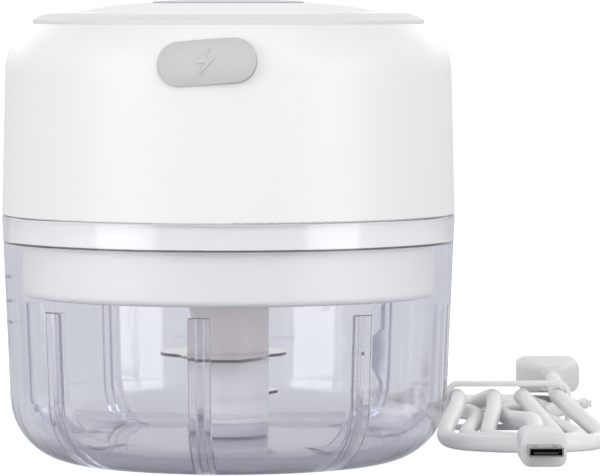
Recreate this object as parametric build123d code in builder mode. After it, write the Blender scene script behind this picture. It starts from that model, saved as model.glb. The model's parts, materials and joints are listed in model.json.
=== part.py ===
"""Cordless mini food chopper: clear bowl, motor head, spinning blades and a tied USB lead.

Millimetres. The origin is the middle of the bowl's foot on the surface, +Z is up and the front,
with the charging port, faces -Y.
"""
from build123d import *
import os
from math import asin, cos, degrees, dist, pi, radians, sin, sqrt

os.makedirs("parts", exist_ok=True)

# Fits between pieces
fit = 0.02
running_fit = 0.05
loose_fit = 0.3
blind_end = 0.4

# Bowl
body_radius = 45.0
bowl_height = 49.0
bowl_draft = 2.05
bowl_corner = 13.0
bowl_wall = 2.6
bowl_floor = 2.8
mouth_wall = 1.3
mouth_depth = 5.3
foot_recess_radius = 24.0
foot_recess_depth = 0.6
rim_edge = 0.4
rib_count = 8
rib_width = 1.4
rib_depth = 2.6
rib_height = 28.2
rib_root = 0.8
rib_blend = 4.0
rib_flange_width = 4.0
rib_flange_depth = 0.7
rib_flange_blend = 1.0
rib_start_angle = -97.7
boss_radius = 5.2
boss_height = 5.2
pin_radius = 2.0
pin_seat = 4.4
pin_length = 14.4
pin_edge = 0.5

# Blade assembly, a stack on a sleeve that turns on the pin
hub_radius = 8.0
hub_edge = 0.6
hub_joint_edge = 0.25
hub_foot_gap = 1.9
hub_base_height = 4.3
hub_spacer_height = 7.9
sleeve_radius = 3.6
sleeve_grip = 2.3
blade_thickness = 0.6
blade_eye_radius = 12.6
lower_eye_radius = 6.4
lower_slot_start = 3.0
lower_neck_half = 7.4
lower_root_lead = 7.5
lower_root_trail = 9.9
blade_eye_offset = 1.0
blade_bend_angle = 1.9
blade_bend_gap = 0.6
blade_bend_lap = 0.5
blade_reach = 33.0
blade_tip_shift = 2.0
blade_tip_width = 5.0
blade_tip_slope = 0.8
blade_bow = 1.2
socket_depth = 8.0
coupler_across_flats = 7.6
coupler_lead_in = 0.6
hub_headroom = 0.6

# Base plug of the head, which hangs into the bowl
plug_bottom = 33.0
plug_wall = 2.0
plug_floor = 2.4
plug_edge = 1.5
flange_lift = 0.3
flange_thickness = 2.2
screw_inset = 4.0
screw_count = 3
screw_pillar_radius = 4.4
screw_shank_radius = 1.45
screw_head_radius = 2.7
screw_head_height = 2.0
screw_head_depth = 9.0
screw_grip = 9.0
screw_start_angle = -90.0
seal_height = 4.6
seal_width = 2.4
seal_bore_radius = 6.5
seal_thickness = 3.0
seal_lip = 1.4
neck_radius = 4.0
neck_height = 5.6

# Housing shell
housing_wall = 2.2
housing_draft = 0.7
shoulder_corner = 14.0
shoulder_sweep = 44.0
housing_top = 86.7
post_radius = 4.0
post_height = 13.0
web_width = 3.0
roof_post_margin = 0.8
roof_post_count = 3
roof_post_radius = 2.8
roof_post_start_angle = 60.0

# Top ring, panel and button
ring_inset = 1.57
ring_width = 8.8
ring_seat_width = 6.8
ring_side = 0.8
ring_round = 5.2
ring_round_rise = 1.1
ring_rise = 2.1
ring_ledge_width = 3.5
ring_ledge_rise = 0.9
ring_spigot = 1.8
panel_edge_proud = 0.2
panel_crown = 1.8
panel_thickness = 1.8
panel_fullness = 0.72
button_radius = 15.0
button_proud = 0.3
button_dome = 0.5
button_travel = 1.0
button_flange = 2.0
button_flange_thickness = 1.2
stem_radius = 3.0

# Circuit board, switch and socket
board_gap = 0.12
board_thickness = 1.6
board_drop = 6.5
board_screw_radius = 1.2
board_screw_head_radius = 2.3
board_screw_head_height = 1.5
board_screw_grip = 4.5
switch_side = 6.2
switch_height = 3.6
plunger_radius = 1.75
plunger_proud = 1.7
plunger_buried = 0.8
socket_width = 7.6
socket_height = 2.7
socket_length = 5.6
socket_wall = 0.3
tongue_thickness = 0.6
tongue_width = 4.6
socket_setback = 0.4

# Charging port and its cover, laid out on a plane that faces the port
port_azimuth = -5.4
port_tilt = 8.0
port_roll = 3.8
port_drop = 7.0
cover_length = 18.6
cover_width = 8.2
cover_thickness = 1.8
cover_sunk = 0.6
cover_gap = 0.25
cover_seat_gap = 0.2
cover_anchor_length = 3.6
cover_fold_gap = 0.3
cover_ajar = 3.5
cover_edge = 0.4
port_hole_length = 11.2
port_hole_width = 7.2
port_pad_margin = 2.2
port_pad_depth = 2.4
stub_length = 8.6
stub_width = 5.4
stub_depth = 2.0

# Motor
motor_radius = 13.85
terminal_height = 2.9
motor_can_wall = 1.0
motor_cap_length = 5.0
motor_cap_edge = 1.0
motor_boss_radius = 5.0
motor_boss_height = 1.8
mount_floor = 2.0
mount_wall = 2.0
mount_plate = 2.0
mount_fit = 0.15
motor_face = 41.5
motor_screw_pitch = 16.0
motor_screw_radius = 1.45
motor_screw_head_radius = 2.6
motor_screw_head_height = 1.2
motor_screw_grip = 0.9
shaft_radius = 1.15
shaft_tail = 1.0
shaft_grip = 7.0
bush_radius = 3.0
bush_length = 3.2
magnet_thickness = 2.2
magnet_margin = 3.0
magnet_start = 3.0
magnet_span = 140.0
air_gap = 0.5
armature_start = 6.5
armature_poles = 3
armature_core_radius = 4.6
armature_pole_width = 5.0
armature_shoe = 2.2
armature_slot = 2.0
winding_height = 2.4
winding_inset = 1.6
commutator_radius = 3.2
commutator_length = 3.78
brush_side = 2.4
brush_height = 3.0
brush_length = 5.0
brush_air = 0.05
terminal_width = 2.6
terminal_thickness = 0.5
terminal_offset = 8.0

# Battery cell and cradle
cell_radius = 7.1
cell_length = 43.0
cell_edge = 0.6
cell_offset = 22.5
cell_lift = 1.5
cradle_length = 36.0
cradle_width = 15.0
cradle_cut = 3.0
tab_width = 5.0
tab_thickness = 0.3

# Charging lead
cord_radius = 1.7
lead_x = 58.5
lead_y = 60.0
hank_turns = 3
hank_waist = 11.2
hank_reach = 51.0
hank_reach_step = 3.85
hank_swell = 33.0
hank_swell_step = 6.9
hank_layer = 4.1
hank_lean = 1.5
hank_far_lean = -0.7
hank_far_growth = 0.24
hank_settle = 2.5
hank_side = 0.136
heading_step = 0.001
tie_thickness = 1.1
tie_width = 2.6
tie_clearance = 0.35
crossing_across = 3.3
crossing_first = 43.0
crossing_last = 51.0
crossing_gap = 0.8
plug_a_angle = 90.0
plug_a_across = 12.5
plug_a_along = 31.0
plug_a_lift = 4.4
plug_a_taper = 0.55
plug_a_width = 13.6
plug_a_height = 7.6
plug_a_length = 18.0
plug_a_shell_width = 12.0
plug_a_shell_height = 4.5
plug_a_shell_length = 12.0
plug_a_shell_wall = 0.35
plug_a_tongue_height = 1.9
plug_a_tongue_offset = 0.8
plug_a_window = 2.4
plug_a_window_pitch = 5.0
plug_b_along = 62.0
plug_b_taper = 0.3
plug_b_width = 9.3
plug_b_height = 7.0
plug_b_length = 15.0
plug_b_tip_width = 6.85
plug_b_tip_height = 1.9
plug_b_tip_length = 6.2
plug_b_tip_wall = 0.3
plug_neck_radius = 2.7
plug_neck_corner = 2.4
plug_corner = 2.2

# Levels and radii that follow from the sizes above
ledge = bowl_height - mouth_depth
mouth_radius = body_radius - mouth_wall
bowl_base_radius = body_radius - bowl_draft
bowl_inner_corner = bowl_corner - bowl_wall
boss_top = bowl_floor + boss_height
rib_top = bowl_floor + rib_height
pin_bottom = boss_top - pin_seat
pin_top = pin_bottom + pin_length

hub_foot_bottom = bowl_floor + hub_foot_gap
hub_bottom = boss_top + loose_fit
lower_blade_z = hub_bottom + hub_base_height
spacer_z = lower_blade_z + blade_thickness
upper_blade_z = spacer_z + hub_spacer_height
collar_z = upper_blade_z + blade_thickness
collar_top = plug_bottom - hub_headroom
sleeve_top = collar_z + sleeve_grip
socket_bottom = collar_top - socket_depth

plug_radius = mouth_radius - loose_fit - seal_width
plug_inner = plug_radius - plug_wall
screw_circle = plug_inner - screw_inset
plug_floor_top = plug_bottom + plug_floor
flange_bottom = bowl_height + flange_lift
flange_top = flange_bottom + flange_thickness
flange_radius = body_radius - housing_wall - loose_fit
mount_plate_top = flange_top + mount_plate
mount_floor_z = motor_face - mount_floor
seal_z = plug_bottom + seal_lip
seal_top = seal_z + seal_thickness
neck_top = plug_bottom + neck_height

shoulder_radius = body_radius - housing_draft
shoulder_x = shoulder_radius - shoulder_corner
shoulder_z = housing_top - shoulder_corner * sin(radians(shoulder_sweep))
roof_bottom = housing_top - housing_wall
inner_corner = shoulder_corner - housing_wall
post_bottom = mount_plate_top

roof_radius = shoulder_x + shoulder_corner * cos(radians(shoulder_sweep))
ring_radius = roof_radius - ring_inset
ring_inner_radius = ring_radius - ring_width
roof_opening_radius = ring_radius - ring_seat_width
roof_post_circle = roof_opening_radius + roof_post_radius + roof_post_margin
ring_ledge_z = housing_top + ring_ledge_rise
ring_top = housing_top + ring_rise
ring_ledge_radius = ring_inner_radius - ring_ledge_width
panel_radius = ring_inner_radius - fit
panel_edge_z = ring_top + panel_edge_proud
panel_top = panel_edge_z + panel_crown
panel_hole_radius = button_radius + loose_fit
panel_bottom = panel_top - panel_thickness
button_edge_z = panel_top + button_proud
button_top = button_edge_z + button_dome
flange_up = panel_bottom - loose_fit
flange_down = flange_up - button_flange_thickness

board_top = roof_bottom - board_drop
board_bottom = board_top - board_thickness
switch_top = board_top + switch_height
plunger_top = switch_top + plunger_proud
plunger_bottom = switch_top - plunger_buried

motor_end = board_bottom - terminal_height
motor_cap_z = motor_end - motor_cap_length
shaft_top = motor_end + shaft_tail
magnet_outer = motor_radius - motor_can_wall - fit
magnet_inner = magnet_outer - magnet_thickness
armature_radius = magnet_inner - air_gap
magnet_z = motor_face + magnet_start
magnet_length = motor_cap_z - magnet_margin - magnet_z
armature_z = motor_face + armature_start
commutator_z = motor_cap_z - loose_fit - commutator_length
armature_end = commutator_z - fit - winding_height
armature_length = armature_end - armature_z
coupler_radius = coupler_across_flats / 2 / cos(radians(30))
coupler_bottom = socket_bottom + loose_fit
neck_hole_radius = coupler_radius + loose_fit

cell_z = mount_plate_top + cell_lift + cell_radius

# A plane on the housing's face at the charging port: x to the right, y up, z outwards
azimuth = radians(port_azimuth)
tilt = radians(port_tilt)
roll = radians(port_roll)
port_height = housing_top - port_drop
port_radius = shoulder_x + sqrt(shoulder_corner**2 - (port_height - shoulder_z) ** 2)
port_outward = Vector(sin(azimuth) * cos(tilt), -cos(azimuth) * cos(tilt), sin(tilt))
port_level = Vector(cos(azimuth), sin(azimuth), 0)
port_across = port_level * cos(roll) + port_outward.cross(port_level) * sin(roll)
port_middle = Vector(port_radius * sin(azimuth), -port_radius * cos(azimuth), port_height)
port_plane = Plane(origin=port_middle, x_dir=port_across, z_dir=port_outward)
recess_floor = cover_sunk + cover_thickness + cover_seat_gap
pad_back = recess_floor + port_pad_depth
board_radius = port_radius - pad_back - board_gap

FROM_BELOW = (Align.CENTER, Align.CENTER, Align.MIN)
FROM_ABOVE = (Align.CENTER, Align.CENTER, Align.MAX)


def bowl_outside(z):
    """Outer radius of the bowl's straight wall at a height."""
    return bowl_base_radius + (body_radius - bowl_base_radius) * z / bowl_height


def bowl_inside(z):
    """Inner radius of the bowl's straight wall at a height."""
    return bowl_outside(z) - bowl_wall


def low_outer_corner(sketch):
    """The corner of a section that lies lowest and furthest from the axis."""
    return sketch.vertices().group_by(Axis.Y)[0].sort_by(Axis.X)[-1]


# Bowl rib: a slim web on a wider, shallow flange, both running out into the floor's corner
rib_layers = []
for width, depth, blend in (
    (rib_width, rib_depth, rib_blend),
    (rib_flange_width, rib_flange_depth, rib_flange_blend),
):
    with BuildPart() as rib:
        with BuildSketch(Plane.XZ) as rib_blank:
            Polygon(
                (boss_radius, bowl_floor - rib_root),
                (bowl_inside(bowl_floor) + rib_root, bowl_floor - rib_root),
                (bowl_inside(rib_top) + rib_root, rib_top),
                (boss_radius, rib_top),
                align=None,
            )
            fillet(low_outer_corner(rib_blank), bowl_inner_corner + rib_root)
        extrude(amount=width / 2, both=True)
        with BuildSketch(Plane.XZ) as rib_clear:
            Polygon(
                (0, bowl_floor),
                (bowl_inside(bowl_floor) - depth, bowl_floor),
                (bowl_inside(bowl_height) - depth, bowl_height),
                (0, bowl_height),
                align=None,
            )
            fillet(low_outer_corner(rib_clear), bowl_inner_corner + blend)
        extrude(amount=width, both=True, mode=Mode.SUBTRACT)
    rib_layers.append(rib.part)

# Bowl
with BuildPart() as bowl:
    with BuildSketch(Plane.XZ) as bowl_form:
        Polygon(
            (0, 0),
            (bowl_base_radius, 0),
            (body_radius, bowl_height),
            (0, bowl_height),
            align=None,
        )
        fillet(low_outer_corner(bowl_form), bowl_corner)
    revolve(axis=Axis.Z)
    fillet(bowl.edges().group_by(Axis.Z)[-1], rim_edge)
    with BuildSketch(Plane.XZ) as bowl_cavity:
        Polygon(
            (0, bowl_floor),
            (bowl_inside(bowl_floor), bowl_floor),
            (bowl_inside(ledge), ledge),
            (0, ledge),
            align=None,
        )
        fillet(low_outer_corner(bowl_cavity), bowl_inner_corner)
    revolve(axis=Axis.Z, mode=Mode.SUBTRACT)
    with Locations((0, 0, ledge)):
        Cylinder(mouth_radius, mouth_depth, align=FROM_BELOW, mode=Mode.SUBTRACT)
    Cylinder(foot_recess_radius, foot_recess_depth, align=FROM_BELOW, mode=Mode.SUBTRACT)
    with PolarLocations(0, rib_count, start_angle=rib_start_angle):
        for layer in rib_layers:
            add(layer)
    with Locations((0, 0, bowl_floor - rib_root)):
        Cylinder(boss_radius, boss_height + rib_root, align=FROM_BELOW)
    with Locations((0, 0, boss_top)):
        Cylinder(pin_radius + fit, pin_seat, align=FROM_ABOVE, mode=Mode.SUBTRACT)
bowl.part.label = "bowl"
export_step(bowl.part, "parts/bowl.step")

# Steel pin that the blades turn on
with BuildPart() as pivot_pin:
    with Locations((0, 0, pin_bottom)):
        Cylinder(pin_radius, pin_length, align=FROM_BELOW)
    chamfer(pivot_pin.edges().group_by(Axis.Z)[-1], pin_edge)
pivot_pin.part.label = "pivot_pin"
export_step(pivot_pin.part, "parts/pivot_pin.step")

# Sleeve of the blade assembly
with BuildPart() as hub_sleeve:
    with Locations((0, 0, hub_bottom)):
        Cylinder(sleeve_radius, sleeve_top - hub_bottom, align=FROM_BELOW)
        Cylinder(
            pin_radius + running_fit,
            pin_top + blind_end - hub_bottom,
            align=FROM_BELOW,
            mode=Mode.SUBTRACT,
        )
hub_sleeve.part.label = "hub_sleeve"
export_step(hub_sleeve.part, "parts/hub_sleeve.step")

# Lower section of the hub
with BuildPart() as hub_base:
    with Locations((0, 0, hub_bottom)):
        Cylinder(hub_radius, hub_base_height, align=FROM_BELOW)
        Cylinder(sleeve_radius + fit, hub_base_height, align=FROM_BELOW, mode=Mode.SUBTRACT)
    fillet(hub_base.edges().group_by(Axis.Z)[0].sort_by(SortBy.LENGTH)[-1], hub_joint_edge)
hub_base.part.label = "hub_base"
export_step(hub_base.part, "parts/hub_base.step")

# Foot ring under the hub, which runs round the bowl's boss
with BuildPart() as hub_foot:
    with Locations((0, 0, hub_foot_bottom)):
        Cylinder(hub_radius, hub_bottom - hub_foot_bottom, align=FROM_BELOW)
        Cylinder(boss_radius + loose_fit, hub_bottom - hub_foot_bottom, align=FROM_BELOW, mode=Mode.SUBTRACT)
    fillet(hub_foot.edges().group_by(Axis.Z)[0].sort_by(SortBy.LENGTH)[-1], hub_edge)
hub_foot.part.label = "hub_foot"
export_step(hub_foot.part, "parts/hub_foot.step")

# Middle section, whose skirt closes over the lower blade and is open at the back for its wing
with BuildPart() as hub_spacer:
    with Locations((0, 0, lower_blade_z)):
        Cylinder(hub_radius, upper_blade_z - lower_blade_z, align=FROM_BELOW)
        Cylinder(sleeve_radius + fit, upper_blade_z - lower_blade_z, align=FROM_BELOW, mode=Mode.SUBTRACT)
    with BuildSketch(Plane.XY.offset(lower_blade_z)):
        Circle(lower_eye_radius + fit)
        with Locations((0, lower_slot_start - fit)):
            Rectangle(4 * hub_radius, 2 * hub_radius, align=(Align.CENTER, Align.MIN))
    extrude(amount=blade_thickness, mode=Mode.SUBTRACT)
hub_spacer.part.label = "hub_spacer"
export_step(hub_spacer.part, "parts/hub_spacer.step")

# Upper section of the hub, with the six-sided drive socket
with BuildPart() as hub_collar:
    with Locations((0, 0, collar_z)):
        Cylinder(hub_radius, collar_top - collar_z, align=FROM_BELOW)
        Cylinder(
            sleeve_radius + fit,
            sleeve_top + fit - collar_z,
            align=FROM_BELOW,
            mode=Mode.SUBTRACT,
        )
    fillet(hub_collar.edges().group_by(Axis.Z)[-1], hub_edge)
    with BuildSketch(Plane.XY.offset(socket_bottom)):
        RegularPolygon(coupler_radius + loose_fit, 6)
    extrude(amount=socket_depth, mode=Mode.SUBTRACT)
hub_collar.part.label = "hub_collar"
export_step(hub_collar.part, "parts/hub_collar.step")


blade_bend = hub_radius + blade_bend_gap
wing_length = blade_reach - blade_bend


def blade_wing(right, left):
    """Leaf-shaped wing from its two corners on the bend line: two bowed edges and a short slanted tip."""
    tip = (blade_tip_shift, -wing_length)
    tip_back = (blade_tip_shift - blade_tip_width, -wing_length + blade_tip_slope)
    with BuildLine() as outline:
        ThreePointArc((right, 0), ((right + tip[0]) / 2 + blade_bow, -wing_length / 2), tip)
        Line(tip, tip_back)
        ThreePointArc(tip_back, ((left + tip_back[0]) / 2 - blade_bow, -wing_length / 2), (left, 0))
        Line((left, 0), (right, 0))
    make_face(outline.edges())


# Upper blade: a round eye clamped in the hub, its wing points to the front and is bent upwards
bend_rise = radians(blade_bend_angle)
bend_end = blade_bend + blade_bend_lap
upper_root = sqrt(blade_eye_radius**2 - blade_bend**2)
with BuildPart() as upper_blade:
    with BuildSketch(Plane.XY.offset(upper_blade_z)):
        with Locations((-blade_eye_offset, 0)):
            Circle(blade_eye_radius)
        with Locations((0, -bend_end)):
            Rectangle(
                4 * blade_eye_radius,
                2 * blade_eye_radius,
                align=(Align.CENTER, Align.MAX),
                mode=Mode.SUBTRACT,
            )
        Circle(sleeve_radius + fit, mode=Mode.SUBTRACT)
    extrude(amount=blade_thickness)
    upper_bend = Plane(
        origin=(0, -blade_bend, upper_blade_z),
        x_dir=(1, 0, 0),
        z_dir=(0, sin(bend_rise), cos(bend_rise)),
    )
    with BuildSketch(upper_bend):
        blade_wing(upper_root - blade_eye_offset, -upper_root - blade_eye_offset)
    extrude(amount=blade_thickness)
upper_blade.part.label = "upper_blade"
export_step(upper_blade.part, "parts/upper_blade.step")

# Lower blade: an eye hidden in the hub and a neck out of its back, half a turn on and bent downwards
with BuildPart() as lower_blade:
    with BuildSketch(Plane(origin=(0, 0, lower_blade_z), x_dir=(-1, 0, 0), z_dir=(0, 0, 1))):
        Circle(lower_eye_radius)
        Polygon(
            (lower_root_lead, -lower_slot_start),
            (-lower_neck_half, -lower_slot_start),
            (-lower_root_trail, -blade_bend),
            (-lower_root_trail, -bend_end),
            (lower_root_lead, -bend_end),
            align=None,
        )
        Circle(sleeve_radius + fit, mode=Mode.SUBTRACT)
    extrude(amount=blade_thickness)
    lower_bend = Plane(
        origin=(0, blade_bend, lower_blade_z),
        x_dir=(-1, 0, 0),
        z_dir=(0, sin(bend_rise), cos(bend_rise)),
    )
    with BuildSketch(lower_bend):
        blade_wing(lower_root_lead, -lower_root_trail)
    extrude(amount=blade_thickness)
lower_blade.part.label = "lower_blade"
export_step(lower_blade.part, "parts/lower_blade.step")

# Base plug: a cup with screw pillars and a seat for the shaft seal
screw_places = PolarLocations(screw_circle, screw_count, start_angle=screw_start_angle)
with BuildPart() as base_plug:
    with Locations((0, 0, plug_bottom)):
        Cylinder(plug_radius, flange_top - plug_bottom, align=FROM_BELOW)
    fillet(base_plug.edges().group_by(Axis.Z)[0], plug_edge)
    with Locations((0, 0, flange_bottom)):
        Cylinder(flange_radius, flange_thickness, align=FROM_BELOW)
    with Locations((0, 0, plug_floor_top)):
        Cylinder(plug_inner, flange_top - plug_floor_top, align=FROM_BELOW, mode=Mode.SUBTRACT)
    with BuildSketch(Plane.XY.offset(plug_bottom + plug_floor / 2)):
        with screw_places:
            Circle(screw_pillar_radius)
    extrude(amount=flange_top - plug_bottom - plug_floor / 2)
    with Locations((0, 0, plug_bottom)):
        Cylinder(seal_bore_radius + plug_wall, seal_top - plug_bottom, align=FROM_BELOW)
        Cylinder(neck_hole_radius, seal_top - plug_bottom, align=FROM_BELOW, mode=Mode.SUBTRACT)
    with Locations((0, 0, seal_z)):
        Cylinder(seal_bore_radius, seal_thickness, align=FROM_BELOW, mode=Mode.SUBTRACT)
    with BuildSketch(Plane.XY.offset(plug_bottom)):
        with screw_places:
            Circle(screw_shank_radius + loose_fit)
    extrude(amount=flange_top - plug_bottom, mode=Mode.SUBTRACT)
    with BuildSketch(Plane.XY.offset(plug_bottom)):
        with screw_places:
            Circle(screw_head_radius + loose_fit)
    extrude(amount=screw_head_depth, mode=Mode.SUBTRACT)
base_plug.part.label = "base_plug"
export_step(base_plug.part, "parts/base_plug.step")

# Soft ring that seals the plug in the bowl's mouth
with BuildPart() as seal_ring:
    with Locations((0, 0, ledge + loose_fit)):
        Cylinder(mouth_radius - loose_fit, seal_height, align=FROM_BELOW)
        Cylinder(plug_radius + fit, seal_height, align=FROM_BELOW, mode=Mode.SUBTRACT)
seal_ring.part.label = "seal_ring"
export_step(seal_ring.part, "parts/seal_ring.step")

# Lip seal round the coupler's neck
with BuildPart() as shaft_seal:
    with Locations((0, 0, seal_z)):
        Cylinder(seal_bore_radius - fit, seal_thickness, align=FROM_BELOW)
        Cylinder(neck_radius + running_fit, seal_thickness, align=FROM_BELOW, mode=Mode.SUBTRACT)
shaft_seal.part.label = "shaft_seal"
export_step(shaft_seal.part, "parts/shaft_seal.step")

# Screws that hold plug, motor mount and housing together
screw_seat = plug_bottom + screw_head_depth
screw_tip = post_bottom + screw_grip
with BuildPart() as housing_screws:
    with BuildSketch(Plane.XY.offset(screw_seat - screw_head_height)):
        with screw_places:
            Circle(screw_head_radius)
    extrude(amount=screw_head_height)
    with BuildSketch(Plane.XY.offset(screw_seat)):
        with screw_places:
            Circle(screw_shank_radius)
    extrude(amount=screw_tip - screw_seat)
housing_screws.part.label = "housing_screws"
export_step(housing_screws.part, "parts/housing_screws.step")

# The space inside the housing, less the posts and the pad behind the port
roof_posts = PolarLocations(roof_post_circle, roof_post_count, start_angle=roof_post_start_angle)
with BuildPart() as housing_space:
    with BuildSketch(Plane.XZ):
        with BuildLine():
            inner_side = Line((0, bowl_height), (body_radius - housing_wall, bowl_height))
            inner_wall = Line(inner_side @ 1, (shoulder_radius - housing_wall, shoulder_z))
            inner_sweep = degrees(asin((roof_bottom - shoulder_z) / inner_corner))
            inner_arc = CenterArc((shoulder_x, shoulder_z), inner_corner, 0, inner_sweep)
            inner_roof = Line(inner_arc @ 1, (0, roof_bottom))
            Line(inner_roof @ 1, inner_side @ 0)
        make_face()
    revolve(axis=Axis.Z)
    with BuildSketch(Plane.XY.offset(post_bottom)):
        with screw_places:
            Circle(post_radius)
            Rectangle(body_radius - screw_circle, web_width, align=(Align.MIN, Align.CENTER))
    extrude(amount=post_height, mode=Mode.SUBTRACT)
    with BuildSketch(Plane.XY.offset(board_top)):
        with roof_posts:
            Circle(roof_post_radius)
    extrude(amount=roof_bottom - board_top, mode=Mode.SUBTRACT)
    with BuildSketch(port_plane.offset(-pad_back)):
        pad_length = cover_length + 2 * port_pad_margin
        pad_width = cover_width + 2 * port_pad_margin
        SlotOverall(pad_length, pad_width)
    extrude(amount=pad_back, mode=Mode.SUBTRACT)

# Housing shell
recess_length = cover_length + 2 * cover_gap
recess_width = cover_width + 2 * cover_gap
with BuildPart() as housing_shell:
    with BuildSketch(Plane.XZ):
        with BuildLine():
            outer_side = Line((0, bowl_height), (body_radius, bowl_height))
            outer_wall = Line(outer_side @ 1, (shoulder_radius, shoulder_z))
            outer_arc = CenterArc((shoulder_x, shoulder_z), shoulder_corner, 0, shoulder_sweep)
            outer_roof = Line(outer_arc @ 1, (0, housing_top))
            Line(outer_roof @ 1, outer_side @ 0)
        make_face()
    revolve(axis=Axis.Z)
    fillet(housing_shell.edges().group_by(Axis.Z)[0], rim_edge)
    add(housing_space.part, mode=Mode.SUBTRACT)
    with Locations((0, 0, roof_bottom)):
        Cylinder(roof_opening_radius, housing_wall, align=FROM_BELOW, mode=Mode.SUBTRACT)
    with BuildSketch(port_plane.offset(-recess_floor)):
        SlotOverall(recess_length, recess_width)
    extrude(amount=2 * recess_floor, mode=Mode.SUBTRACT)
    with BuildSketch(port_plane.offset(-pad_back - port_pad_depth)):
        SlotOverall(port_hole_length, port_hole_width)
    extrude(amount=2 * pad_back, mode=Mode.SUBTRACT)
    with BuildSketch(Plane.XY.offset(post_bottom)):
        with screw_places:
            Circle(screw_shank_radius + fit)
    extrude(amount=screw_grip + blind_end, mode=Mode.SUBTRACT)
    with BuildSketch(Plane.XY.offset(board_top)):
        with roof_posts:
            Circle(board_screw_radius + fit)
    extrude(amount=board_screw_grip + blind_end, mode=Mode.SUBTRACT)
housing_shell.part.label = "housing_shell"
export_step(housing_shell.part, "parts/housing_shell.step")

# Fold of the port cover: everything right of it swings
fold_x = -cover_length / 2 + cover_anchor_length
cover_face = port_plane.offset(-cover_sunk)
with BuildPart() as cover_anchor:
    with BuildSketch(cover_face.offset(-cover_thickness)):
        SlotOverall(cover_length, cover_width)
        with Locations((fold_x - cover_fold_gap / 2, 0)):
            Rectangle(
                cover_length,
                2 * cover_width,
                align=(Align.MIN, Align.CENTER),
                mode=Mode.SUBTRACT,
            )
    extrude(amount=cover_thickness)
cover_anchor.part.label = "cover_anchor"
export_step(cover_anchor.part, "parts/cover_anchor.step")

# Port cover, standing a little ajar about the fold as in daily use
ajar = radians(cover_ajar)
fold_point = cover_face.from_local_coords((fold_x, 0, 0))
swung_plane = Plane(
    origin=fold_point,
    x_dir=port_across * cos(ajar) + port_outward * sin(ajar),
    z_dir=port_outward * cos(ajar) - port_across * sin(ajar),
)
with BuildPart() as port_cover:
    with BuildSketch(swung_plane.offset(-cover_thickness)):
        with Locations((-fold_x, 0)):
            SlotOverall(cover_length, cover_width)
        with Locations((cover_fold_gap / 2, 0)):
            Rectangle(
                cover_length,
                2 * cover_width,
                align=(Align.MAX, Align.CENTER),
                mode=Mode.SUBTRACT,
            )
    extrude(amount=cover_thickness)
    cover_rim = port_cover.faces().sort_by(Axis(fold_point, swung_plane.z_dir))[-1].edges()
    fillet(cover_rim.filter_by(GeomType.CIRCLE), cover_edge)
    with BuildSketch(swung_plane.offset(-cover_thickness - stub_depth)):
        with Locations((-fold_x, 0)):
            SlotOverall(stub_length, stub_width)
    extrude(amount=stub_depth)
port_cover.part.label = "port_cover"
export_step(port_cover.part, "parts/port_cover.step")

# Grey ring on the housing's roof, with a ledge for the top panel
with BuildPart() as top_ring:
    with BuildSketch(Plane.XZ):
        with BuildLine():
            spigot_radius = roof_opening_radius - loose_fit
            ring_low = housing_top - ring_spigot
            ring_foot = Polyline(
                (ring_ledge_radius, ring_low),
                (spigot_radius, ring_low),
                (spigot_radius, housing_top),
                (ring_radius, housing_top),
                (ring_radius, housing_top + ring_side),
            )
            ring_shoulder = ThreePointArc(
                ring_foot @ 1,
                (ring_radius - ring_round / 4, housing_top + ring_side + ring_round_rise * 2 / 3),
                (ring_radius - ring_round, housing_top + ring_side + ring_round_rise),
            )
            Polyline(
                ring_shoulder @ 1,
                (ring_inner_radius, ring_top),
                (ring_inner_radius, ring_ledge_z),
                (ring_ledge_radius, ring_ledge_z),
                ring_foot @ 0,
            )
        make_face()
    revolve(axis=Axis.Z)
top_ring.part.label = "top_ring"
export_step(top_ring.part, "parts/top_ring.step")

# Domed top panel with the button's hole
panel_middle = (panel_radius + panel_hole_radius) / 2
with BuildPart() as top_panel:
    with BuildSketch(Plane.XZ):
        with BuildLine():
            panel_side = Polyline(
                (ring_ledge_radius, ring_ledge_z),
                (panel_radius, ring_ledge_z),
                (panel_radius, panel_edge_z),
            )
            panel_face = ThreePointArc(
                panel_side @ 1,
                (panel_middle, panel_edge_z + panel_crown * panel_fullness),
                (panel_hole_radius, panel_top),
            )
            Polyline(
                panel_face @ 1,
                (panel_hole_radius, panel_bottom),
                (panel_hole_radius + button_flange + loose_fit, panel_bottom),
                panel_side @ 0,
            )
        make_face()
    revolve(axis=Axis.Z)
top_panel.part.label = "top_panel"
export_step(top_panel.part, "parts/top_panel.step")

# Power button: a shallow dome with a keeping flange and a stem to the switch
with BuildPart() as power_button:
    with BuildSketch(Plane.XZ):
        with BuildLine():
            button_side = Polyline(
                (0, plunger_top),
                (stem_radius, plunger_top),
                (stem_radius, flange_down),
                (button_radius + button_flange, flange_down),
                (button_radius + button_flange, flange_up),
                (button_radius, flange_up),
                (button_radius, button_edge_z),
            )
            button_face = TangentArc((0, button_top), button_side @ 1, tangent=(1, 0))
            Line(button_face @ 0, button_side @ 0)
        make_face()
    revolve(axis=Axis.Z)
power_button.part.label = "power_button"
export_step(power_button.part, "parts/power_button.step")

# Push switch: its plunger rides in the body and touches the button's stem
with BuildPart() as switch_body:
    with Locations((0, 0, board_top)):
        Box(switch_side, switch_side, switch_height, align=FROM_BELOW)
    with Locations((0, 0, switch_top)):
        Cylinder(
            plunger_radius + loose_fit / 2,
            plunger_buried + button_travel + blind_end,
            align=FROM_ABOVE,
            mode=Mode.SUBTRACT,
        )
switch_body.part.label = "switch_body"
export_step(switch_body.part, "parts/switch_body.step")

with BuildPart() as switch_plunger:
    with Locations((0, 0, plunger_bottom)):
        Cylinder(plunger_radius, plunger_top - plunger_bottom, align=FROM_BELOW)
switch_plunger.part.label = "switch_plunger"
export_step(switch_plunger.part, "parts/switch_plunger.step")

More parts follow.
